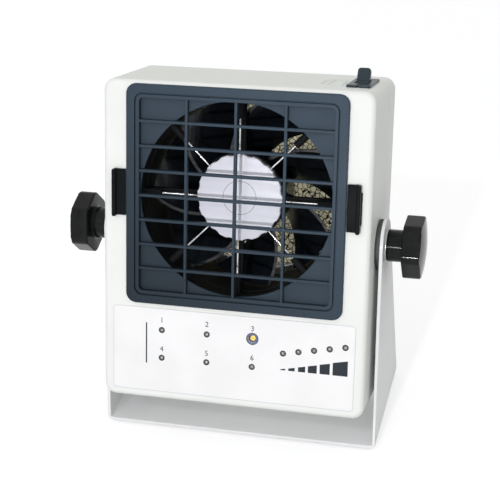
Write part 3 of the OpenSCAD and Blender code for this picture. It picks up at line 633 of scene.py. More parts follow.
def finish(name):
    """The material of a finish, made on first use."""
    if name not in FINISHES:
        c = colours()
        recipes = {
            "housing": lambda: moulded("housing_plastic", c.housing, 0.46, 1500, 0.00004, spread=0.025),
            "bracket": lambda: powder_coat("bracket_coat", c.bracket),
            "pad": lambda: rubber("pad_rubber", (0.03, 0.03, 0.032)),
            "label": lambda: film("label_film", c.label),
            "ink": lambda: moulded("label_ink", c.ink, 0.5, 2200, 0.00001, specular=0.2),
            "outline": lambda: moulded("outline_ink", (0.62, 0.64, 0.66), 0.5, 2200, 0.00001),
            # The guard's finish carries a painted sheen, paler towards its upper right.
            "guard": lambda: painted_sheen_moulded("guard_plastic", c.guard),
            "knob": lambda: phenolic("knob_phenolic", c.knob),
            "latch": lambda: moulded("latch_plastic", c.latch, 0.15, 1500, 0.00001, specular=0.1, spread=0.2),
            "fan": lambda: moulded("fan_nylon", c.fan, 0.66, 1200, 0.00004, specular=0.12, spread=0.2),
            "rotor": lambda: moulded(
                "rotor_plastic", c.rotor, 0.2, 700, 0.00003, coat=0.15, specular=0.4, spread=0.25),
            "hub": lambda: moulded("hub_plastic", c.hub, 0.38, 1500, 0.00002, spread=0.03),
            # Dark colour of the painted shade for the hub disc's fine groove.
            "hub_line": lambda: moulded("hub_line", (0.16, 0.16, 0.2), 0.5, 1500, 0.00001),
            # The foam's finish glows as painted light from behind.
            "foam": lambda: painted_glow_foam("filter_foam", c.foam),
            "washer": lambda: rubber("washer_fibre", c.washer),
            "switch": lambda: moulded(
                "switch_plastic", c.switch, 0.36, 1600, 0.00003, specular=0.16, spread=0.15),
            "steel": lambda: metal("screw_steel", (0.60, 0.61, 0.62), 0.28),
            "needle": lambda: metal("needle_steel", (0.82, 0.82, 0.84), 0.2, cell=900),
            "brass": lambda: metal("turned_brass", (0.80, 0.55, 0.16), 0.26),
            "magnet": lambda: metal("ferrite", (0.10, 0.10, 0.105), 0.5),
            "copper": lambda: winding("copper_winding", (0.75, 0.33, 0.13)),
            "board": lambda: circuit_board("board_laminate", (0.01, 0.10, 0.04)),
            "lamp": lambda: resin_lamp("lamp_resin", (0.42, 0.41, 0.36)),
            "lamp_rim": lambda: moulded("lamp_rim", (0.05, 0.053, 0.056), 0.4, 2200, 0.00001),
            "trimmer": lambda: moulded("trimmer_plastic", (0.10, 0.14, 0.30), 0.4),
            "potting": lambda: moulded("potting_resin", (0.03, 0.03, 0.035), 0.5, 500, 0.0001, spread=0.2),
        }
        FINISHES[name] = recipes[name]()
    return FINISHES[name]


KEPT_NODES = {
    "base_pad": "pad", "case_screws": "steel", "control_board": "board", "board_screws": "steel",
    "trimmer_body": "trimmer", "trimmer_screw": "brass", "hv_module": "potting", "fan_frame": "fan",
    "fan_stator": "copper", "fan_bearings": "needle", "fan_screws": "steel", "fan_shaft": "needle",
    "rotor_magnet": "magnet", "emitter_ring": "fan", "emitter_needles": "needle", "emitter_screws": "steel",
    "dc_inlet": "switch", "ground_screw": "steel", "pivot_inserts": "brass", "stud_left": "steel",
    "stud_right": "steel", "knob_washer_left": "steel", "knob_washer_right": "steel",
}


# ---------- smaller sizes and places, in millimetres ----------


OVERRUN, INNER_OVERRUN = 2, 1  # how far a cutter runs past a wall, outside and inside
JOINT_OVERRUN = 5  # how far the cutter of a shell's hollow runs past the joint
SLIDE_GAP = 0.3  # between two pieces that move past each other
SEAT_GAP = 0.1  # between the switch and its opening
CAVITY_R = 4.5  # corner radius of the hollow inside both shells
STUD_HOLE_R = 3.3  # holes that the clamp studs pass through
PLAIN_WASHER_T = 0.8  # washer under a clamp knob
SKIRT_INSET, SKIRT_T, SKIRT_H = 4, 1.5, 6  # guard's skirt: inset from the bezel's edge, wall and depth
LATCH_RISE, LATCH_TRAVEL = 0.8, 3  # middle of a latch above the fan axis, and how far it slides out
TONGUE, TONGUE_H = (67.1, 71.0), 18.5  # sides of a latch's tongue from the middle, and its height
SWITCH_AT, SWITCH_HALF = (66.8, 31.5), (6, 15)  # middle of the power switch, half width and half length
TRIMMER_HOLE_R = 2.65
COLUMNS, LOW_ROW, HIGH_ROW = (-43.4, -15.5, 12.4), 26.4, 43.8  # lamps on the panel
TRIMMER = (COLUMNS[2], HIGH_ROW)
SPEED_LAMPS = [(31.1 + 9.25 * i, 36.6 + 1.8 * i) for i in range(5)]
LAMPS = [(x, z) for x in COLUMNS for z in (LOW_ROW, HIGH_ROW) if (x, z) != TRIMMER] + SPEED_LAMPS
NUMERAL_H = 3.3
NUMERAL_ROWS = [("123", HIGH_ROW + 6.1), ("456", LOW_ROW + 5.5)]
BAR_FOOT = 26.3
BARS = [
    (29.6, 32.7, 27.4), (34.6, 38.4, 28.5), (40.4, 44.7, 29.9), (46.3, 51.6, 31.4), (53.3, 59.3, 33.2),
    (61.0, 69.9, 35.7),
]  # left side, right side and top of each printed bar


def slab(at, half_x, half_y, low, high, corner=0.0, rim=0.0):
    """An upright block about (x, y): its upright edges rounded by corner, its top edges by rim."""
    x, y = at
    return block((x - half_x, y - half_y, low), (x + half_x, y + half_y, high), corner, 2, rim, high)


def flat_ring(inner, outer, front, back, at=(0, 0), steps=24):
    """A ring about the y axis, from front to back."""
    return turned([(inner, front), (outer, front), (outer, back), (inner, back)], at=at, steps=steps)


def square_tube(outer, inner, start, end, outer_r, inner_r):
    """A square tube with rounded corners along y."""
    tube = block((-outer, start, -outer), (outer, end, outer), outer_r)
    return tube.cut(block((-inner, start - 3, -inner), (inner, end + 3, inner), inner_r))


# ---------- operators ----------


class BLOWER_OT_kept_nodes(bpy.types.Operator):
    """Give the solids that stay as they are their finishes"""

    bl_idname = "blower.kept_nodes"
    bl_label = "Kept solids"
    bl_options = {"REGISTER", "UNDO"}

    def execute(self, context):
        for node, name in KEPT_NODES.items():
            mesh = frame["nodes"][node].data
            mesh.materials.clear()
            mesh.materials.append(finish(name))
        return {"FINISHED"}


class BLOWER_OT_front_shell(bpy.types.Operator):
    """Mould the front shell with its openings, slots and pressed marks"""

    bl_idname = "blower.front_shell"
    bl_label = "Front shell"
    bl_options = {"REGISTER", "UNDO"}

    def execute(self, context):
        s = sizes()
        half, mid, inside = s.body_w / 2, duct_z(), s.wall + INNER_OVERRUN
        shell = block((-half, 0, 0), (half, s.front_d, s.body_h), s.corner_r, rim=s.edge_r, rim_at=0, steps=8)
        shell.cut(cavity(s, s.wall, s.front_d + JOINT_OVERRUN))
        gap = s.guard_w / 2 - SKIRT_INSET + SLIDE_GAP
        cutters = block((-gap, -OVERRUN, mid - gap), (gap, inside, mid + gap), corner=4)
        near, far = TONGUE[0] - SLIDE_GAP, TONGUE[1] + LATCH_TRAVEL + SLIDE_GAP
        middle, reach = mid + LATCH_RISE, TONGUE_H / 2 + SLIDE_GAP
        for left, right in ((-far, -near), (near, far)):
            cutters.add(block((left, -OVERRUN, middle - reach), (right, inside, middle + reach)))
        half_w, half_d = SWITCH_HALF[0] + SEAT_GAP, SWITCH_HALF[1] + SEAT_GAP
        cutters.add(slab(SWITCH_AT, half_w, half_d, s.body_h - inside, s.body_h + OVERRUN))
        cutters.add(rod(TRIMMER_HOLE_R, -OVERRUN, inside, TRIMMER))
        shell.cut(cutters)
        marks = pressed_mark(s.body_h, x=52.6, y=33, width=9.7, length=24, ring=True)
        marks.add(pressed_mark(s.body_h, x=44.8, y=33, width=2.5, length=18))
        shell.cut(marks)
        piece("front_shell_moulding", shell, housing_frame(), finish("housing"), "housing",
              ["front_shell"], edge=0.5)
        return {"FINISHED"}


def cavity(s, start, end):
    """Cutter for the hollow of a shell, from start to end."""
    inner = s.body_w / 2 - s.wall
    return block((-inner, start, s.wall), (inner, end, s.body_h - s.wall), CAVITY_R)


def pressed_mark(top, x, y, width, length, ring=False):
    """Cutter for a shallow mark in the top: an open ring or a bar."""
    sunk, line, corner, inner_corner = 0.7, 1.5, min(1.8, width / 3), 0.8
    mark = slab((x, y), width / 2, length / 2, top - sunk, top + 1, corner)
    if ring:
        mark.cut(slab((x, y), width / 2 - line, length / 2 - line, top - 2, top + 2, inner_corner))
    return mark


class BLOWER_OT_rear_shell(bpy.types.Operator):
    """Mould the rear shell with its round inlet, socket hole and screw posts"""

    bl_idname = "blower.rear_shell"
    bl_label = "Rear shell"
    bl_options = {"REGISTER", "UNDO"}

    def execute(self, context):
        s = sizes()
        half, back = s.body_w / 2, s.body_d
        low, high = (-half, s.front_d, 0), (half, back, s.body_h)
        shell = block(low, high, s.corner_r, rim=s.rear_edge_r, rim_at=back, steps=8)
        shell.cut(cavity(s, s.front_d - JOINT_OVERRUN, back - s.wall))
        inlet_r, socket_r, socket_at, screw_head_r, deep = 56.5, 4.55, (-44, 26), 3.8, 6
        hole = (back - deep, back + OVERRUN)
        cutters = rod(inlet_r, *hole, (0, duct_z()), sides=96)
        cutters.add(rod(socket_r, *hole, socket_at, sides=32))
        for place in case_screw_places(s):
            cutters.add(rod(screw_head_r, *hole, place, sides=32))
        shell.cut(cutters)
        for place in case_screw_places(s):
            shell.add(screw_post(s, place))
        piece("rear_shell_moulding", shell, housing_frame(), finish("housing"), "housing",
              ["rear_shell"], edge=0.5)
        return {"FINISHED"}


def case_screw_places(s):
    """Places of the four case screws, as (x, z)."""
    out, low, high = 71, 12, s.body_h - 25
    return [(x, z) for x in (-out, out) for z in (low, high)]


def screw_post(s, at):
    """A post with a bore for a case screw and a wider one for its head."""
    bore_r, head_r, post_r = 2.0, 3.85, 4.5
    start, seat, end = s.front_d + 0.1, s.front_d + 10, s.body_d - 1
    outline = [(bore_r, start), (post_r, start), (post_r, end), (head_r, end), (head_r, seat), (bore_r, seat)]
    return turned(outline, at=at, steps=32)


class BLOWER_OT_bracket(bpy.types.Operator):
    """Bend the bracket from sheet, with tapered arms, round tops and drilled holes"""

    bl_idname = "blower.bracket"
    bl_label = "Bracket"
    bl_options = {"REGISTER", "UNDO"}

    def execute(self, context):
        s = sizes()
        inner = s.body_w / 2 + s.washer_t
        outer, axis_z = inner + s.sheet_t, PIVOT.z / MM
        low, floor, half = s.pad_t, s.pad_t + s.sheet_t, s.base_d / 2
        spare, clear = 5, 4
        top, past = axis_z + s.arm_r + spare, spare + clear
        bracket = block((-outer, -half - spare, low), (outer, half + spare, top))
        bracket.bevel(bracket.edges(1, below=axis_z), s.bend_r + s.sheet_t, segments=6)
        hollow = block((-inner, -half - past, floor), (inner, half + past, top + past))
        hollow.bevel(hollow.edges(1, below=axis_z), s.bend_r, segments=6)
        bracket.cut(hollow)
        bracket.keep(arm_outline(s, outer + clear, low - clear, axis_z))
        holes = rod(STUD_HOLE_R, -outer - spare, outer + spare, (0, axis_z), axis=0, sides=40)
        mount_r, mount_x, mount_y = 2.75, 60, 20
        for x in (-mount_x, mount_x):
            holes.add(rod(mount_r, 0, floor + clear, (x, mount_y), axis=2, sides=32))
        bracket.cut(holes)
        piece("bent_bracket", bracket, stand_frame(), finish("bracket"), "stand",
              ["stand_bracket"], edge=0.3)
        return {"FINISHED"}


def arm_outline(s, reach, low, axis_z):
    """The side view of the bracket as a solid: round tops, and sides that spread down to the base."""
    outline, half = Form(), s.base_d / 2
    across = Matrix.Rotation(math.radians(90), 4, "Y")
    for x in (-reach, reach):
        spot = Matrix.Translation((x, 0, axis_z)) @ across
        bmesh.ops.create_circle(outline.bm, segments=72, radius=s.arm_r, matrix=spot)
    outline.add(block((-reach, -half, low), (reach, half, s.pad_t + s.sheet_t + s.bend_r)))
    bmesh.ops.convex_hull(outline.bm, input=outline.bm.verts)
    loose = [vert for vert in outline.bm.verts if not vert.link_faces]
    bmesh.ops.delete(outline.bm, geom=loose, context="VERTS")
    bmesh.ops.dissolve_limit(
        outline.bm, angle_limit=math.radians(0.5), verts=outline.bm.verts, edges=outline.bm.edges
    )
    return outline


class BLOWER_OT_label_panel(bpy.types.Operator):
    """Lay the label film with its outline, divider, plain numerals and growing bars"""

    bl_idname = "blower.label_panel"
    bl_label = "Label panel"
    bl_options = {"REGISTER", "UNDO"}

    def execute(self, context):
        s = sizes()
        place, half, low, high = housing_frame(), s.panel_w / 2, s.panel_up, s.panel_up + s.panel_h
        film_t, corner, lamp_hole_r = 0.3, 2.5, 1.5
        sheet = block((-half, -film_t, low), (half, 0, high), corner)
        holes = rod(TRIMMER_HOLE_R, -OVERRUN, OVERRUN, TRIMMER, sides=40)
        for spot in LAMPS:
            holes.add(rod(lamp_hole_r, -OVERRUN, OVERRUN, spot, sides=24))
        sheet.cut(holes)
        piece("label_sheet", sheet, place, finish("label"), "housing", ["label_panel"],
              edge=0.06, steps=1)
        front, back = -film_t - 0.04, -film_t + 0.02
        outline = block((0.1 - half, front, low + 0.1), (half - 0.1, back, high - 0.1), corner - 0.1)
        inside = block((0.45 - half, -OVERRUN, low + 0.45), (half - 0.45, OVERRUN, high - 0.45), corner - 0.4)
        outline.cut(inside)
        piece("label_outline", outline, place, finish("outline"), "housing")
        bezel_r, ring_r = 3.35, 3.75
        bezel = flat_ring(TRIMMER_HOLE_R - 0.03, bezel_r, front, back, TRIMMER, 40)
        piece("trimmer_bezel", bezel, place, finish("trimmer"), "housing")
        divider_left, divider_right, divider_low, divider_high = -53.4, -52.6, 22.4, 47.8
        ink = block((divider_left, front, divider_low), (divider_right, back, divider_high))
        for left, right, top in BARS:
            ink.add(printed_bar(left, right, top, front, back))
        for spot in LAMPS:
            ink.add(flat_ring(lamp_hole_r - 0.05, lamp_hole_r + 0.4, front, back, spot))
        ink.add(flat_ring(bezel_r, ring_r, front, back, TRIMMER, 40))
        for numbers, z in NUMERAL_ROWS:
            for number, x in zip(numbers, COLUMNS):
                ink.add(numeral(number, x, z, front, back))
        piece("label_print", ink, place, finish("ink"), "housing")
        return {"FINISHED"}


def printed_bar(left, right, top, front, back):
    """An upright printed bar whose top falls towards its left."""
    fall = 0.2 * (right - left)
    bar = block((left, front, BAR_FOOT), (right, back, top))
    for vert in bar.bm.verts:
        if vert.co.z > BAR_FOOT + 0.2 and vert.co.x < left + 0.1:
            vert.co.z -= fall
    return bar


def numeral(number, x, z, front, back):
    """A number in the plain built in face, as a thin solid centred on (x, z)."""
    curve = bpy.data.curves.new("numeral", "FONT")
    size_per_height = 1.38
    curve.body, curve.size, curve.extrude = number, NUMERAL_H * size_per_height, (back - front) / 2
    curve.align_x, curve.align_y, curve.resolution_u = "CENTER", "CENTER", 3
    holder = bpy.data.objects.new("numeral", curve)
    bpy.context.scene.collection.objects.link(holder)
    mesh = bpy.data.meshes.new_from_object(holder.evaluated_get(bpy.context.evaluated_depsgraph_get()))
    form = Form()
    form.bm.from_mesh(mesh)
    bpy.data.objects.remove(holder)
    bpy.data.curves.remove(curve)
    bpy.data.meshes.remove(mesh)
    upright = Matrix.Rotation(math.radians(90), 4, "X")
    return form.move(Matrix.Translation((x, (front + back) / 2, z)) @ upright)


class BLOWER_OT_lamps(bpy.types.Operator):
    """Set the domed status lamps and their rims in the panel's holes"""

    bl_idname = "blower.lamps"
    bl_label = "Status lamps"
    bl_options = {"REGISTER", "UNDO"}

    def execute(self, context):
        lens_r, flange_r, flange_front, back = 1.44, 1.85, 5, 5.95
        dome = [(0, -0.32), (0.7, -0.22), (1.2, 0.05), (lens_r, 0.45)]
        flange = [(lens_r, flange_front), (flange_r, flange_front), (flange_r, back), (0, back)]
        rim_in, rim_out, rim_front, rim_back = 0.85, lens_r + 0.02, -0.3, 0.4
        lamps, rims = Form(), Form()
        for spot in LAMPS:
            lamps.add(turned(dome + flange, at=spot, steps=24, closed=False))
            rims.add(flat_ring(rim_in, rim_out, rim_front, rim_back, spot))
        piece("lamp_rims", rims, housing_frame(), finish("lamp_rim"), "housing")
        piece("lamp_domes", lamps, housing_frame(), finish("lamp"), "housing", ["status_lamps"])
        return {"FINISHED"}


class BLOWER_OT_guard(bpy.types.Operator):
    """Mould the guard's bezel, groove, rim, skirt and grid, and the plate with its round opening"""

    bl_idname = "blower.guard"
    bl_label = "Guard"
    bl_options = {"REGISTER", "UNDO"}

    def execute(self, context):
        s = sizes()
        half, front, skirt = s.guard_w / 2, -s.guard_proud, s.guard_w / 2 - SKIRT_INSET
        span = s.guard_w - 2 * s.border_w - s.rim_w
        rim_in, rim_out = (span - s.rim_w) / 2, (span + s.rim_w) / 2
        groove_w, groove_d = 0.9, 1.4
        guard = block((-half, front, -half), (half, 0, half), corner=6, rim=0.7, rim_at=front)
        ahead, behind, rim_r = front - 3, 5, 4
        groove = square_tube(rim_out + groove_w, rim_out, ahead, front + groove_d, rim_r + groove_w, rim_r)
        guard.cut(groove)
        guard.cut(block((-rim_in, ahead, -rim_in), (rim_in, behind, rim_in), corner=2.5))
        guard.add(square_tube(skirt, skirt - SKIRT_T, -0.1, SKIRT_H, outer_r=3.7, inner_r=2.2))
        bar_front, reach = front + 0.4, rim_in + 0.6
        bar_back = bar_front + s.bar_d
        for z in bar_places(s.grid_rows, span):
            guard.add(grid_bar((-reach, bar_front, z), (reach, bar_back, z), s.bar_w, 2))
        for x in bar_places(s.grid_cols, span):
            guard.add(grid_bar((x, bar_front + 0.04, -reach), (x, bar_back - 0.04, reach), s.bar_w, 0))
        piece("guard_moulding", guard, fan_frame(), finish("guard"), "front_guard",
              ["guard"], edge=0.18)
        wide = skirt - SKIRT_T - 0.05
        plate = block((-wide, bar_back, -wide), (wide, bar_back + s.plate_t, wide), corner=2.1)
        duct_start, duct_end = -9, 19
        plate.cut(rod(s.duct_d / 2, duct_start, duct_end, sides=128))
        piece("guard_disc_plate", plate, fan_frame(), finish("guard"), "front_guard",
              ["guard_plate"], edge=0.3)
        return {"FINISHED"}


def bar_places(cells, span):
    """Where the bars between equal cells lie, from the middle."""
    return [(i / cells - 0.5) * span for i in range(1, cells)]


def grid_bar(low, high, width, across, corner=0.3):
    """A bar along x or z between two points, widened along the other of the two."""
    low, high = list(low), list(high)
    low[across] -= width / 2
    high[across] += width / 2
    return block(low, high, corner, along=2 - across, steps=2)


class BLOWER_OT_latches(bpy.types.Operator):
    """Mould the two side latches with their finger ribs"""

    bl_idname = "blower.latches"
    bl_label = "Latches"
    bl_options = {"REGISTER", "UNDO"}

    def execute(self, context):
        s = sizes()
        middle = duct_z() + LATCH_RISE
        low, high, reach = middle - s.latch_h / 2, middle + s.latch_h / 2, TONGUE_H / 2
        pad_left, pad_right, pad_front = 65.9, 72.6, -1.8
        rib_left, rib_right, rib_front = 71.3, 73.9, -4
        back, wall_back, hook_back = -0.1, 2.8, 4.2
        tongue_left, tongue_right = TONGUE
        for side, name in ((-1, "left"), (1, "right")):
            latch = block((pad_left, pad_front, low + 0.8), (pad_right, back, high))
            rib = block((rib_left, rib_front, low), (rib_right, back, high), 1.2, rim=0.8, rim_at=rib_front)
            latch.join(rib)
            latch.join(block((tongue_left, -1, middle - reach), (tongue_right, 3, middle + reach)))
            latch.join(block((tongue_left, wall_back, low + 2), (tongue_right, hook_back, high - 2)))
            place = housing_frame() @ Matrix.Diagonal((side, 1, 1, 1))
            piece(f"latch_{name}_moulding", latch, place, finish("latch"), f"{name}_latch",
                  [f"latch_{name}"], edge=0.35)
        return {"FINISHED"}


class BLOWER_OT_knobs(bpy.types.Operator):
    """Mould the two clamp knobs: a crowned hexagonal grip with round corners on a neck"""

    bl_idname = "blower.knobs"
    bl_label = "Clamp knobs"
    bl_options = {"REGISTER", "UNDO"}

    def execute(self, context):
        s = sizes()
        start = s.body_w / 2 + s.washer_t + s.sheet_t + PLAIN_WASHER_T
        grip_start = start + s.neck_len
        grip_end, radius, crown, corner = grip_start + s.knob_t, s.knob_d / 2, 2.2, 3.2
        dome = [(radius * i / 12, grip_end - crown * (i / 12) ** 2) for i in range(13)]
        outside = radius + 9
        stock = [(0, start), (outside, start), (outside, grip_end - crown), *reversed(dome)]
        for side, name, turn in ((-1, "left", 30), (1, "right", 13)):
            knob = rod(radius, grip_start, grip_end, axis=0, sides=6)
            knob.bevel(knob.edges(0), corner, segments=6)
            knob.keep(turned(stock, axis=0, closed=False, steps=72))
            knob.add(knob_neck(s.neck_d / 2, start, grip_start))
            knob.move(Matrix.Rotation(math.radians(turn), 4, "X"))
            piece(f"knob_{name}_moulding", knob, knob_frame(side), finish("knob"), f"{name}_knob",
                  [f"knob_{name}"], edge=0.75, steps=3)
        return {"FINISHED"}


def knob_neck(radius, start, end):
    """A neck with a chamfered foot that flares into the grip."""
    chamfer, ease, flare, sunk = 0.5, 0.35, 1.2, 1
    foot = [(0, start), (radius - chamfer, start), (radius, start + chamfer)]
    flared = [(radius, end - flare), (radius + ease, end - ease), (radius + flare, end + 0.05)]
    return turned([*foot, *flared, (radius, end + sunk), (0, end + sunk)], axis=0, closed=False)


class BLOWER_OT_friction_washers(bpy.types.Operator):
    """Turn the two friction washers between the housing and the arms"""

    bl_idname = "blower.friction_washers"
    bl_label = "Friction washers"
    bl_options = {"REGISTER", "UNDO"}

    def execute(self, context):
        s = sizes()
        face, radius, chamfer = s.body_w / 2, s.washer_d / 2, 0.4
        start, end = face + 0.02, face + s.washer_t - 0.05
        near = [(STUD_HOLE_R, start), (radius - chamfer, start), (radius, start + chamfer)]
        far = [(radius, end - chamfer), (radius - chamfer, end), (STUD_HOLE_R, end)]
        for side, name in ((-1, "left"), (1, "right")):
            washer = turned(near + far, axis=0)
            piece(f"friction_washer_{name}", washer, knob_frame(side), finish("washer"), "housing",
                  ["friction_washers"])
        return {"FINISHED"}


class BLOWER_OT_switch(bpy.types.Operator):
    """Mould the power switch: a framed body with a slot and its leaning paddle"""

    bl_idname = "blower.switch"
    bl_label = "Power switch"
    bl_options = {"REGISTER", "UNDO"}

    def execute(self, context):
        s = sizes()
        (x, y), top = SWITCH_AT, s.body_h
        frame_w, frame_d, frame_top, frame_r = 7, 17, top + 1.5, 1
        slot_w, slot_d, slot_floor, body_floor = 4.1, 8.4, top - 12, top - 14
        case = slab(SWITCH_AT, frame_w, frame_d, top, frame_top, frame_r, rim=0.5)
        case.join(slab(SWITCH_AT, *SWITCH_HALF, body_floor, top + 0.5))
        case.cut(slab(SWITCH_AT, slot_w, slot_d, slot_floor, frame_top + OVERRUN))
        notch = slab((0, 0), 1.3, 1.8, -1.3, 1.3)
        notch.move(Matrix.Rotation(math.radians(45), 4, "Y"))
        case.cut(notch.move(Matrix.Translation((x, y - frame_d, frame_top))))
        piece("switch_case", case, housing_frame(), finish("switch"), "housing",
              ["switch_body"], edge=0.15)
        pivot_deep, lean_back = 2.5, 25
        pivot = Matrix.Translation((x, y, top - pivot_deep))
        lean = Matrix.Rotation(math.radians(-lean_back), 4, "X")
        piece("switch_lever", switch_paddle(), housing_frame() @ pivot @ lean, finish("switch"), "paddle",
              ["switch_paddle"])
        return {"FINISHED"}


def switch_paddle():
    """The paddle about its pivot: a barrel with pins and a tapered, rounded tongue."""
    half_w, half_t, tall, barrel_r, pin_r, pin_len = 3.8, 3.4, 12.2, 5, 1.4, 1.4
    paddle = rod(barrel_r, -half_w, half_w, axis=0)
    paddle.add(rod(pin_r, -half_w - pin_len, half_w + pin_len, axis=0, sides=24))
    tongue = block((-half_w, -half_t, 0), (half_w, half_t, tall))
    for vert in tongue.bm.verts:
        if vert.co.z > barrel_r:
            vert.co.y *= 0.6
    tongue.bevel(tongue.edges(1, above=barrel_r), 1.8, segments=5)
    outer = [edge for edge in tongue.bm.edges if max(vert.co.z for vert in edge.verts) > barrel_r]
    tongue.bevel([edge for edge in outer if edge.calc_face_angle(0) > 0.8], 0.9, 4)
    return paddle.add(tongue)


class BLOWER_OT_hub_disc(bpy.types.Operator):
    """Mould the scalloped disc that covers the motor, with a thin dark ring of painted shade for a fine round
    groove on it
    """

    bl_idname = "blower.hub_disc"
    bl_label = "Hub disc"
    bl_options = {"REGISTER", "UNDO"}

    def execute(self, context):
        s = sizes()
        front, back, bite_r, bite_deep = 11, 14, 6, 0.8
        disc = rod(s.hub_d / 2, front, back, sides=96)
        bites, reach = Form(), s.hub_d / 2 + bite_r - bite_deep
        for i in range(s.scallops):
            turn = (i + 0.5) * 2 * math.pi / s.scallops
            spot = (reach * math.cos(turn), reach * math.sin(turn))
            bites.add(rod(bite_r, front - OVERRUN, back + OVERRUN, spot, sides=64))
        disc.cut(bites)
        disc.bevel(disc.edges(1, front), 0.6, segments=3)
        piece("hub_disc", disc, fan_frame(), finish("hub"), "housing", ["hub_cap"], smooth=40)
        # Painted shade: a thin dark ring laid on the flat disc stands for the shade in a fine round groove.
        groove_shade_in, groove_shade_out = 9.85, 10.1
        line = flat_ring(groove_shade_in, groove_shade_out, front - 0.01, front + 0.05, steps=72)
        piece("hub_disc_line", line, fan_frame(), finish("hub_line"), "housing")
        return {"FINISHED"}


class BLOWER_OT_impeller(bpy.types.Operator):
    """Mould the impeller: a cup with twisted blades"""

    bl_idname = "blower.impeller"
    bl_label = "Impeller"
    bl_options = {"REGISTER", "UNDO"}

    def execute(self, context):
        s = sizes()
        radius, bore_r, mouth, floor, back = s.rotor_d / 2, 1.53, 19, 45.5, 48
        inner, bevel, back_bevel = radius - 1.6, 0.4, 0.6
        hollow = [(bore_r, floor), (inner, floor), (inner, mouth)]
        skin = [(radius - bevel, mouth), (radius, mouth + bevel), (radius, back - back_bevel)]
        rotor = turned([*hollow, *skin, (radius - back_bevel, back), (bore_r, back)], steps=72)
        root, tip = radius - 0.8, s.duct_d / 2 - 1.3
        for i in range(s.blades):
            turn = s.blade_start - 360 * i / s.blades
            rotor.add(twisted_blade(root, tip, s.blade_t, turn, s.blade_sweep, s.blade_twist))
        piece("impeller_moulding", rotor, fan_frame(), finish("rotor"), "rotor",
              ["impeller"])
        return {"FINISHED"}


def twisted_blade(root, tip, thick, turn, sweep, twist):
    """A blade whose section leans round by sweep from root to tip and turns by twist from front to back."""
    blade, stations = Form(), 8
    front, length, steps = 21, 26, 16

    def corner(i, side):
        radius = root + (tip - root) * i / stations
        slope = radius * math.radians(sweep) / (tip - root)
        half = thick / (4 if i == stations else 2) * math.hypot(1, slope) / radius
        around = math.radians(turn - sweep * i / stations) + side * half
        return blade.bm.verts.new((radius * math.cos(around), front, radius * math.sin(around)))

    low = [corner(i, -1) for i in range(stations + 1)]
    high = [corner(i, 1) for i in reversed(range(stations + 1))]
    section = blade.bm.faces.new(low + high)
    bmesh.ops.spin(
        blade.bm, geom=[section], cent=(0, 0, 0), axis=(0, 1, 0), dvec=(0, length / steps, 0),
        angle=math.radians(twist), steps=steps, use_merge=False, use_duplicate=False,
    )
    bmesh.ops.holes_fill(blade.bm, edges=[edge for edge in blade.bm.edges if edge.is_boundary], sides=0)
    bmesh.ops.recalc_face_normals(blade.bm, faces=blade.bm.faces)
    return blade


class BLOWER_OT_filter(bpy.types.Operator):
    """Lay the filter foam and mould its slotted cover"""

    bl_idname = "blower.filter"
    bl_label = "Filter"
    bl_options = {"REGISTER", "UNDO"}

    def execute(self, context):
        start = sizes().body_d
        end, foam_half, cover_half = start + 5, 60.1, 62
        foam = block((-foam_half, start + 0.02, -foam_half), (foam_half, start + 3.3, foam_half), corner=5)
        piece("filter_foam_sheet", foam, fan_frame(), finish("foam"), "housing",
              ["filter_foam"], edge=0.4)
        cover = square_tube(cover_half, foam_half + 0.3, start, end, outer_r=7, inner_r=5.4)
        outer = [edge for edge in cover.edges(1, end) if max(map(abs, edge.verts[0].co.xz)) > cover_half - 1]
        cover.bevel(outer, 1.3, 4)
        lip_front, lip_in, width, pitch = start + 3.4, 57, 1.8, 9.5
        cover.join(square_tube(cover_half - 0.8, lip_in, lip_front, end, outer_r=6.2, inner_r=4))
        reach = lip_in + 0.8
        for i in range(1, 12):
            z = i * pitch - lip_in
            cover.add(grid_bar((-reach, lip_front + 0.04, z), (reach, end - 0.02, z), width, 2, 0.25))
        for x in (-3 * pitch, 0, 3 * pitch):
            cover.add(grid_bar((x, lip_front + 0.08, -reach), (x, end - 0.06, reach), width, 0, 0.25))
        piece("filter_cover_moulding", cover, fan_frame(), finish("housing"), "housing",
              ["filter_cover"], edge=0.15)
        return {"FINISHED"}


# ---------- stage: metres, watts and levels ----------


HORIZON, ZENITH, ZENITH_FROM = 0.25, 0.80, 0.8  # levels of the dome, and the rise where the second starts
SKY_TINT = (0.995, 1.0, 0.985)
FLOOR_GLOW, FLOOR_HALF = 0.56, 6.0
CAMERA_PLACE = (0.19679, -0.71068, 0.51887)
CAMERA_TURN = (60.8569, 2.5543, 13.9406)  # degrees about x, y and z
CAMERA_LENS, CAMERA_SENSOR = 100.27, 36.0  # millimetres
LAMP_AIM = Vector((0, 0, 0.12))
STUDIO_LAMPS = [
    ("key_lamp", (-0.06, -1.54, 0.53), 0.06, 9.8, (1.0, 0.985, 1.02)),
    ("upper_lamp", (-0.40, -1.15, 1.10), 0.05, 2.0, (1.0, 0.985, 1.02)),
    ("side_lamp", (1.5, -0.5, 0.9), 1.0, 0.15, (1.0, 1.0, 0.98)),
]  # name, place, width, power and tint


class BLOWER_OT_stage(bpy.types.Operator):
    """Set the floor, the backdrop, the lamps and the camera"""

    bl_idname = "blower.stage"
    bl_label = "Stage"
    bl_options = {"REGISTER", "UNDO"}

    def execute(self, context):
        context.scene.view_settings.view_transform = "Standard"
        lay_floor(context.scene)
        context.scene.world = studio_world()
        for name, place, width, power, tint in STUDIO_LAMPS:
            hang_lamp(context.scene, name, Vector(place), width, power, tint)
        set_camera(context.scene)
        return {"FINISHED"}


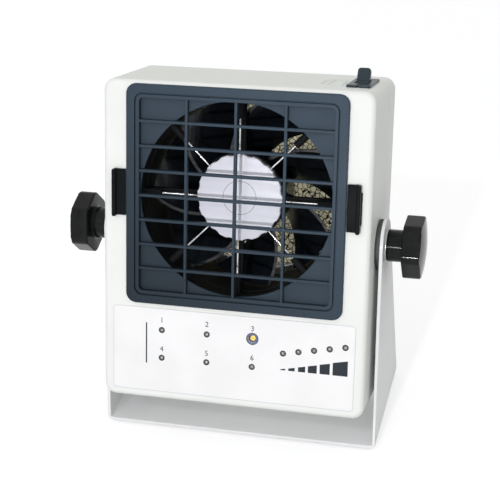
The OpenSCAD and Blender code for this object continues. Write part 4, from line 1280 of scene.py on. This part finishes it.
def lay_floor(scene):
    """A wide sheet of paper that looks white to the camera and keeps the shadow."""
    sheet = Form()
    bmesh.ops.create_grid(sheet.bm, x_segments=1, y_segments=1, size=FLOOR_HALF)
    mesh = sheet.mesh("floor")
    paint = Paint("floor_paper", colours().floor, 0.9, specular=0.1)
    fibre = paint.noise(300, 3, 0.6)
    paint.shades(paint.band(fibre, 0.3, 0.7), 0.99, 1.01)
    paint.set("Emission Color", (1, 1, 1, 1))
    paint.set("Emission Strength", paint.seen_directly() * FLOOR_GLOW)
    mesh.materials.append(paint.material)
    floor = bpy.data.objects.new("floor", mesh)
    scene.collection.objects.link(floor)


def studio_world():
    """A white backdrop for rays that are seen, and a soft dome that lights the rest."""
    world = bpy.data.worlds.new("studio")
    world.use_nodes = True
    nodes = Nodes(world.node_tree)
    look = nodes.make("ShaderNodeTexCoord").outputs["Generated"]
    rise = nodes.make("ShaderNodeSeparateXYZ", _0=look).outputs["Z"]
    dome = nodes.band(rise, 0.0, ZENITH_FROM, HORIZON, ZENITH)
    level = nodes.make("ShaderNodeMix", _0=nodes.seen_directly(), _2=dome, _3=1.0)
    sky = nodes.tree.nodes["Background"]
    nodes.feed(sky.inputs["Color"], (*SKY_TINT, 1))
    nodes.feed(sky.inputs["Strength"], level.outputs[0])
    return world


def hang_lamp(scene, name, place, width, power, tint):
    """A square soft lamp that faces the blower."""
    lamp = bpy.data.lights.new(name, "AREA")
    lamp.shape, lamp.size, lamp.energy, lamp.color = "SQUARE", width, power, tint
    holder = bpy.data.objects.new(name, lamp)
    look = (LAMP_AIM - place).to_track_quat("-Z", "Y").to_matrix().to_4x4()
    holder.matrix_world = Matrix.Translation(place) @ look
    scene.collection.objects.link(holder)


def set_camera(scene):
    """The camera in front of the blower, above it and to its right."""
    camera = bpy.data.cameras.new("camera")
    camera.sensor_width, camera.lens, camera.clip_end = CAMERA_SENSOR, CAMERA_LENS, 50.0
    holder = bpy.data.objects.new("camera", camera)
    turn = Euler([math.radians(degrees) for degrees in CAMERA_TURN]).to_matrix().to_4x4()
    holder.matrix_world = Matrix.Translation(CAMERA_PLACE) @ turn
    scene.collection.objects.link(holder)
    scene.camera = holder


OPERATORS = [
    BLOWER_OT_kept_nodes, BLOWER_OT_front_shell, BLOWER_OT_rear_shell, BLOWER_OT_bracket,
    BLOWER_OT_label_panel, BLOWER_OT_lamps, BLOWER_OT_guard, BLOWER_OT_latches, BLOWER_OT_knobs,
    BLOWER_OT_friction_washers, BLOWER_OT_switch, BLOWER_OT_hub_disc, BLOWER_OT_impeller,
    BLOWER_OT_filter, BLOWER_OT_stage,
]


class BLOWER_PT_panel(bpy.types.Panel):
    """Lists the operators, sizes and colours of the blower"""

    bl_idname = "BLOWER_PT_panel"
    bl_label = "Ionizing Blower"
    bl_space_type = "VIEW_3D"
    bl_region_type = "UI"
    bl_category = "Blower"

    def draw(self, context):
        for operator in OPERATORS:
            self.layout.operator(operator.bl_idname)
        for group in (context.scene.blower_sizes, context.scene.blower_colours):
            box = self.layout.box()
            for name in group.__annotations__:
                box.prop(group, name)


CLASSES = [BlowerSizes, BlowerColours, *OPERATORS, BLOWER_PT_panel]


def register():
    for item in CLASSES:
        bpy.utils.register_class(item)
    bpy.types.Scene.blower_sizes = bpy.props.PointerProperty(type=BlowerSizes)
    bpy.types.Scene.blower_colours = bpy.props.PointerProperty(type=BlowerColours)


def unregister():
    del bpy.types.Scene.blower_colours
    del bpy.types.Scene.blower_sizes
    for item in reversed(CLASSES):
        bpy.utils.unregister_class(item)


def main():
    register()
    for operator in OPERATORS:
        group, name = operator.bl_idname.split(".")
        getattr(getattr(bpy.ops, group), name)()


if __name__ == "__main__":
    main()
